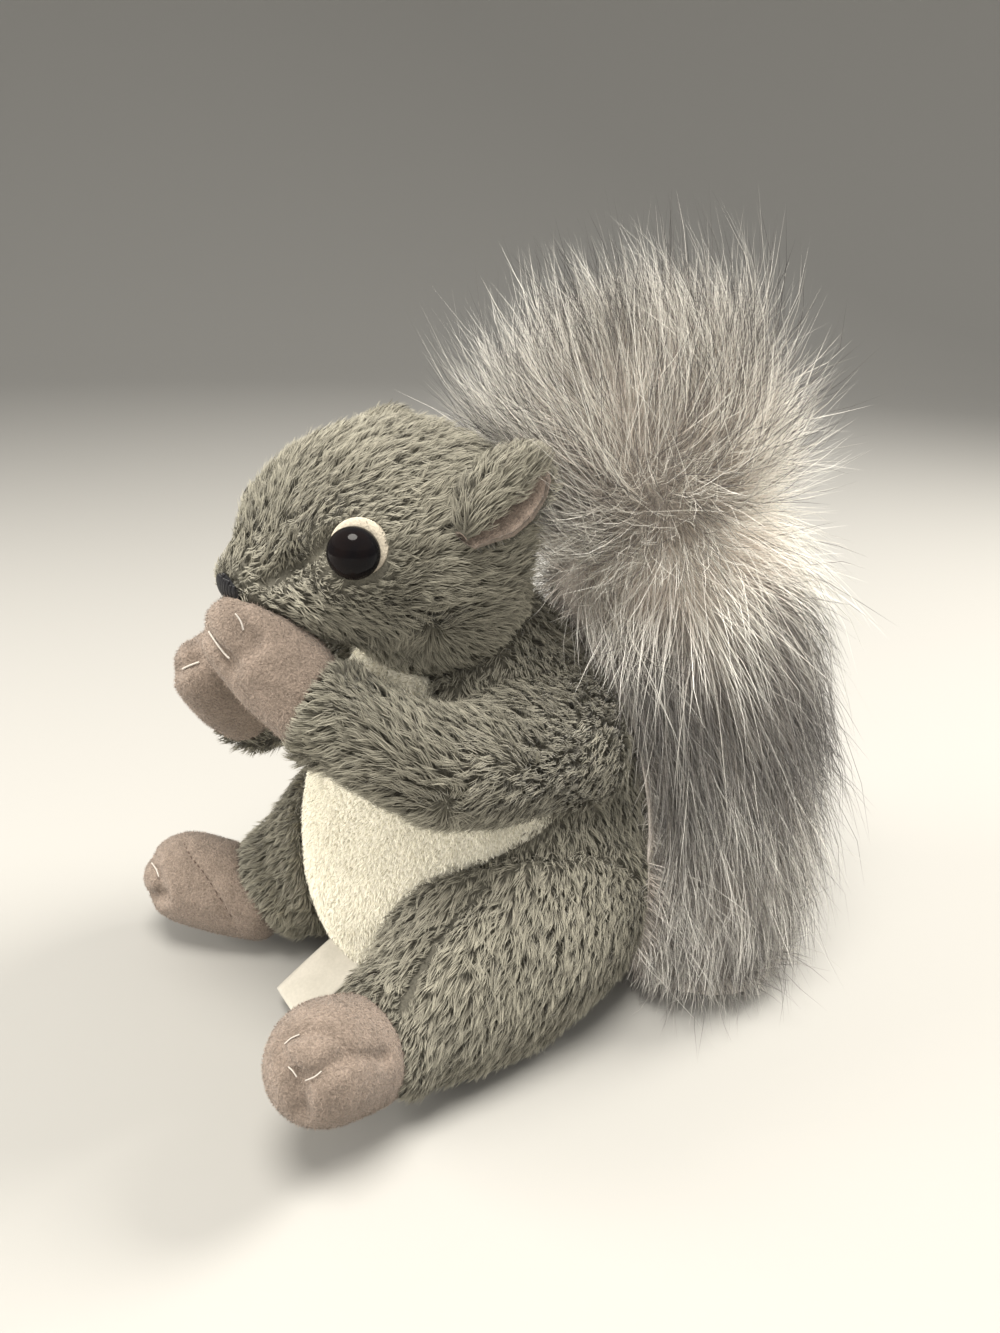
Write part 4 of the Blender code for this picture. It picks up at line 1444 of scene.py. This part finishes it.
hair_group = make_hair_group()
tail_hair = new_finish("tail_hair", hair_group, {"Dark Tips": 1.0}, roughness=0.5, specular=0.35)
print("hair group:", [s.name for s in hair_group.interface.items_tree])

# %% Comb the hair
HAIR_LONGEST, HAIR_SHORTEST, HAIR_BENDS = 34 * MM, 5 * MM, 4
HAIR_WIDTH, GUARD_WIDTH, HAIRS_PER_TUFT, HAIR_CLING = 0.20 * MM, 0.15 * MM, 9, 0.34
HAIR_SPREAD, STRAY_LONGER, BEHIND_LONGER = 12, 12 * MM, 10 * MM
TIP_STRAY, BEND_STRAY, HAIR_SWING, STRAY_SWING = 0.7 * MM, 0.5 * MM, 1.5 * MM, 2.6 * MM
NECK_LOW, NECK_HIGH = 55 * MM, 115 * MM
GUARD_SHARE = (np.array((0, 40, 60, 80, 91, 105, 140)) * MM, (0.12, 0.18, 0.30, 0.07, 0.06, 0.28, 0.42))
STRAY_SHARE = (np.array((0, 65, 91, 105, 140)) * MM, (0.06, 0.14, 0.24, 0.24, 0.26))
HAIR_TONE = (np.array((0, 40, 54, 62, 72, 77, 84, 91, 100, 140)) * MM,
             (0.60, 0.54, 0.37, 0.30, 0.29, 0.36, 0.92, 1.0, 0.80, 0.66))


def grow_hair(name, keep, per_mm2, seed, lift, pull):
    """Hair from the core to the tail's outer shape. lift is how far it lies over, and pull which way."""
    roots, outward, _, dice = scatter(core, per_mm2, seed, keep, least_gap=0.1 * MM)
    heights, ahead = up_the_tail(roots)
    ahead = ahead * pull
    turn = np.radians(lift(heights) + dice.normal(size=len(roots)) * HAIR_SPREAD)[:, None]
    ways = outward * np.cos(turn) + ahead * np.sin(turn)
    ways = ways + 0.20 * wander(roots, 12 * MM, seed + 1) + 0.16 * wander(roots, 4 * MM, seed + 2)
    ways = unit(ways + dice.normal(size=ways.shape) * 0.17)
    shape = tree_of(("tail",))
    hits = [shape.ray_cast(p, w)[3] for p, w in zip(roots.tolist(), ways.tolist())]
    room = np.array([0.0 if hit is None else hit for hit in hits])
    room = np.maximum(room, HAIR_SHORTEST)
    count = len(roots)

    guard = dice.uniform(0, 1, count) < np.interp(heights, *GUARD_SHARE)
    reach = np.minimum(room, HAIR_LONGEST)
    reach = reach * np.where(guard, dice.uniform(0.90, 1.15, count), dice.uniform(0.60, 1.04, count))
    stray = dice.uniform(0, 1, count) < np.interp(heights, *STRAY_SHARE)
    reach = reach + stray * dice.uniform(MM, STRAY_LONGER, count)
    behind_head = (ways[:, 1] < -0.2) & (heights > NECK_LOW) & (heights < NECK_HIGH)
    reach = reach + behind_head * dice.uniform(0, BEHIND_LONGER, count)
    tuft, middles = tuft_numbers(roots + ways * 0.6 * reach[:, None], HAIRS_PER_TUFT, dice)
    tips = roots + ways * reach[:, None]
    bends = roots + unit(outward * 0.9 + ways * 0.8) * (reach * 0.48)[:, None]
    cling = (HAIR_CLING * dice.uniform(0.3, 1.3, len(middles)))[tuft][:, None]
    tips = tips + (tips[middles][tuft] - tips) * cling + dice.normal(size=(count, 3)) * TIP_STRAY
    bends = bends + (bends[middles][tuft] - bends) * cling * 0.4
    bends = bends + dice.normal(size=(count, 3)) * BEND_STRAY

    t = np.linspace(0, 1, HAIR_BENDS + 1)[None, :, None]
    lines = (1 - t) ** 2 * roots[:, None] + 2 * t * (1 - t) * bends[:, None] + t ** 2 * tips[:, None]
    wave = np.cross(ways, unit(dice.normal(size=(count, 3))))
    swing = dice.uniform(0.2, 1.0, count) * np.where(stray, STRAY_SWING, HAIR_SWING)
    phase = dice.uniform(0, 2 * math.pi, count)[:, None]
    swung = np.sin(phase + t[:, :, 0] * 5.5) * t[:, :, 0] * swing[:, None]
    lines = lines + wave[:, None] * swung[:, :, None]
    lines[:, :, 2] = np.maximum(lines[:, :, 2], 3 * ABOVE_THE_TABLE)
    sides = unit(np.cross(ways, dice.normal(size=(count, 3))))
    sides = sides * np.where(guard | stray, GUARD_WIDTH, HAIR_WIDTH)[:, None]

    bright = np.interp(heights, *HAIR_TONE) + dice.normal(size=count) * 0.14
    bright = bright + (dice.normal(size=len(middles)) * 0.12)[tuft]
    bright = bright + 0.10 * wander(roots, 14 * MM, seed + 3)[:, 0]
    tones = np.where(guard, dice.uniform(0.02, 0.2, count), np.clip(bright, 0.26, 0.98))
    piece = add_ribbons(name, lines, sides, np.linspace(1, 0.5, HAIR_BENDS), tones, tail_hair)
    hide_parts("tail")


def lift_up(heights):
    """Above the crease the hair turns up, and stands straight out at the crease."""
    return 18 + 32 * ease(TAIL_CREASE, TAIL_CREASE + 24 * MM, heights)


def lift_down(heights):
    """Below the crease the hair turns down, and it spreads where it meets the table."""
    spread = 0.5 + 0.5 * ease(2 * MM, 22 * MM, heights)
    return 18 + 40 * ease(0, 16 * MM, TAIL_CREASE - heights) * spread


def above_the_crease(spots):
    """A test for what lies above the crease."""
    return up_the_tail(spots)[0] > TAIL_CREASE


print("hair lifts by", lift_down(np.array([0, 40 * MM, TAIL_CREASE])), "degrees up the lower tail")

# %% Grow the tail's hair
def below_the_crease(spots):
    """A test for what lies at the crease or below it."""
    return ~above_the_crease(spots)


grow_hair("tail_hair_upper", above_the_crease, per_mm2=3.2, seed=61, lift=lift_up, pull=1)
grow_hair("tail_hair_lower", below_the_crease, per_mm2=1.85, seed=62, lift=lift_down, pull=-1)
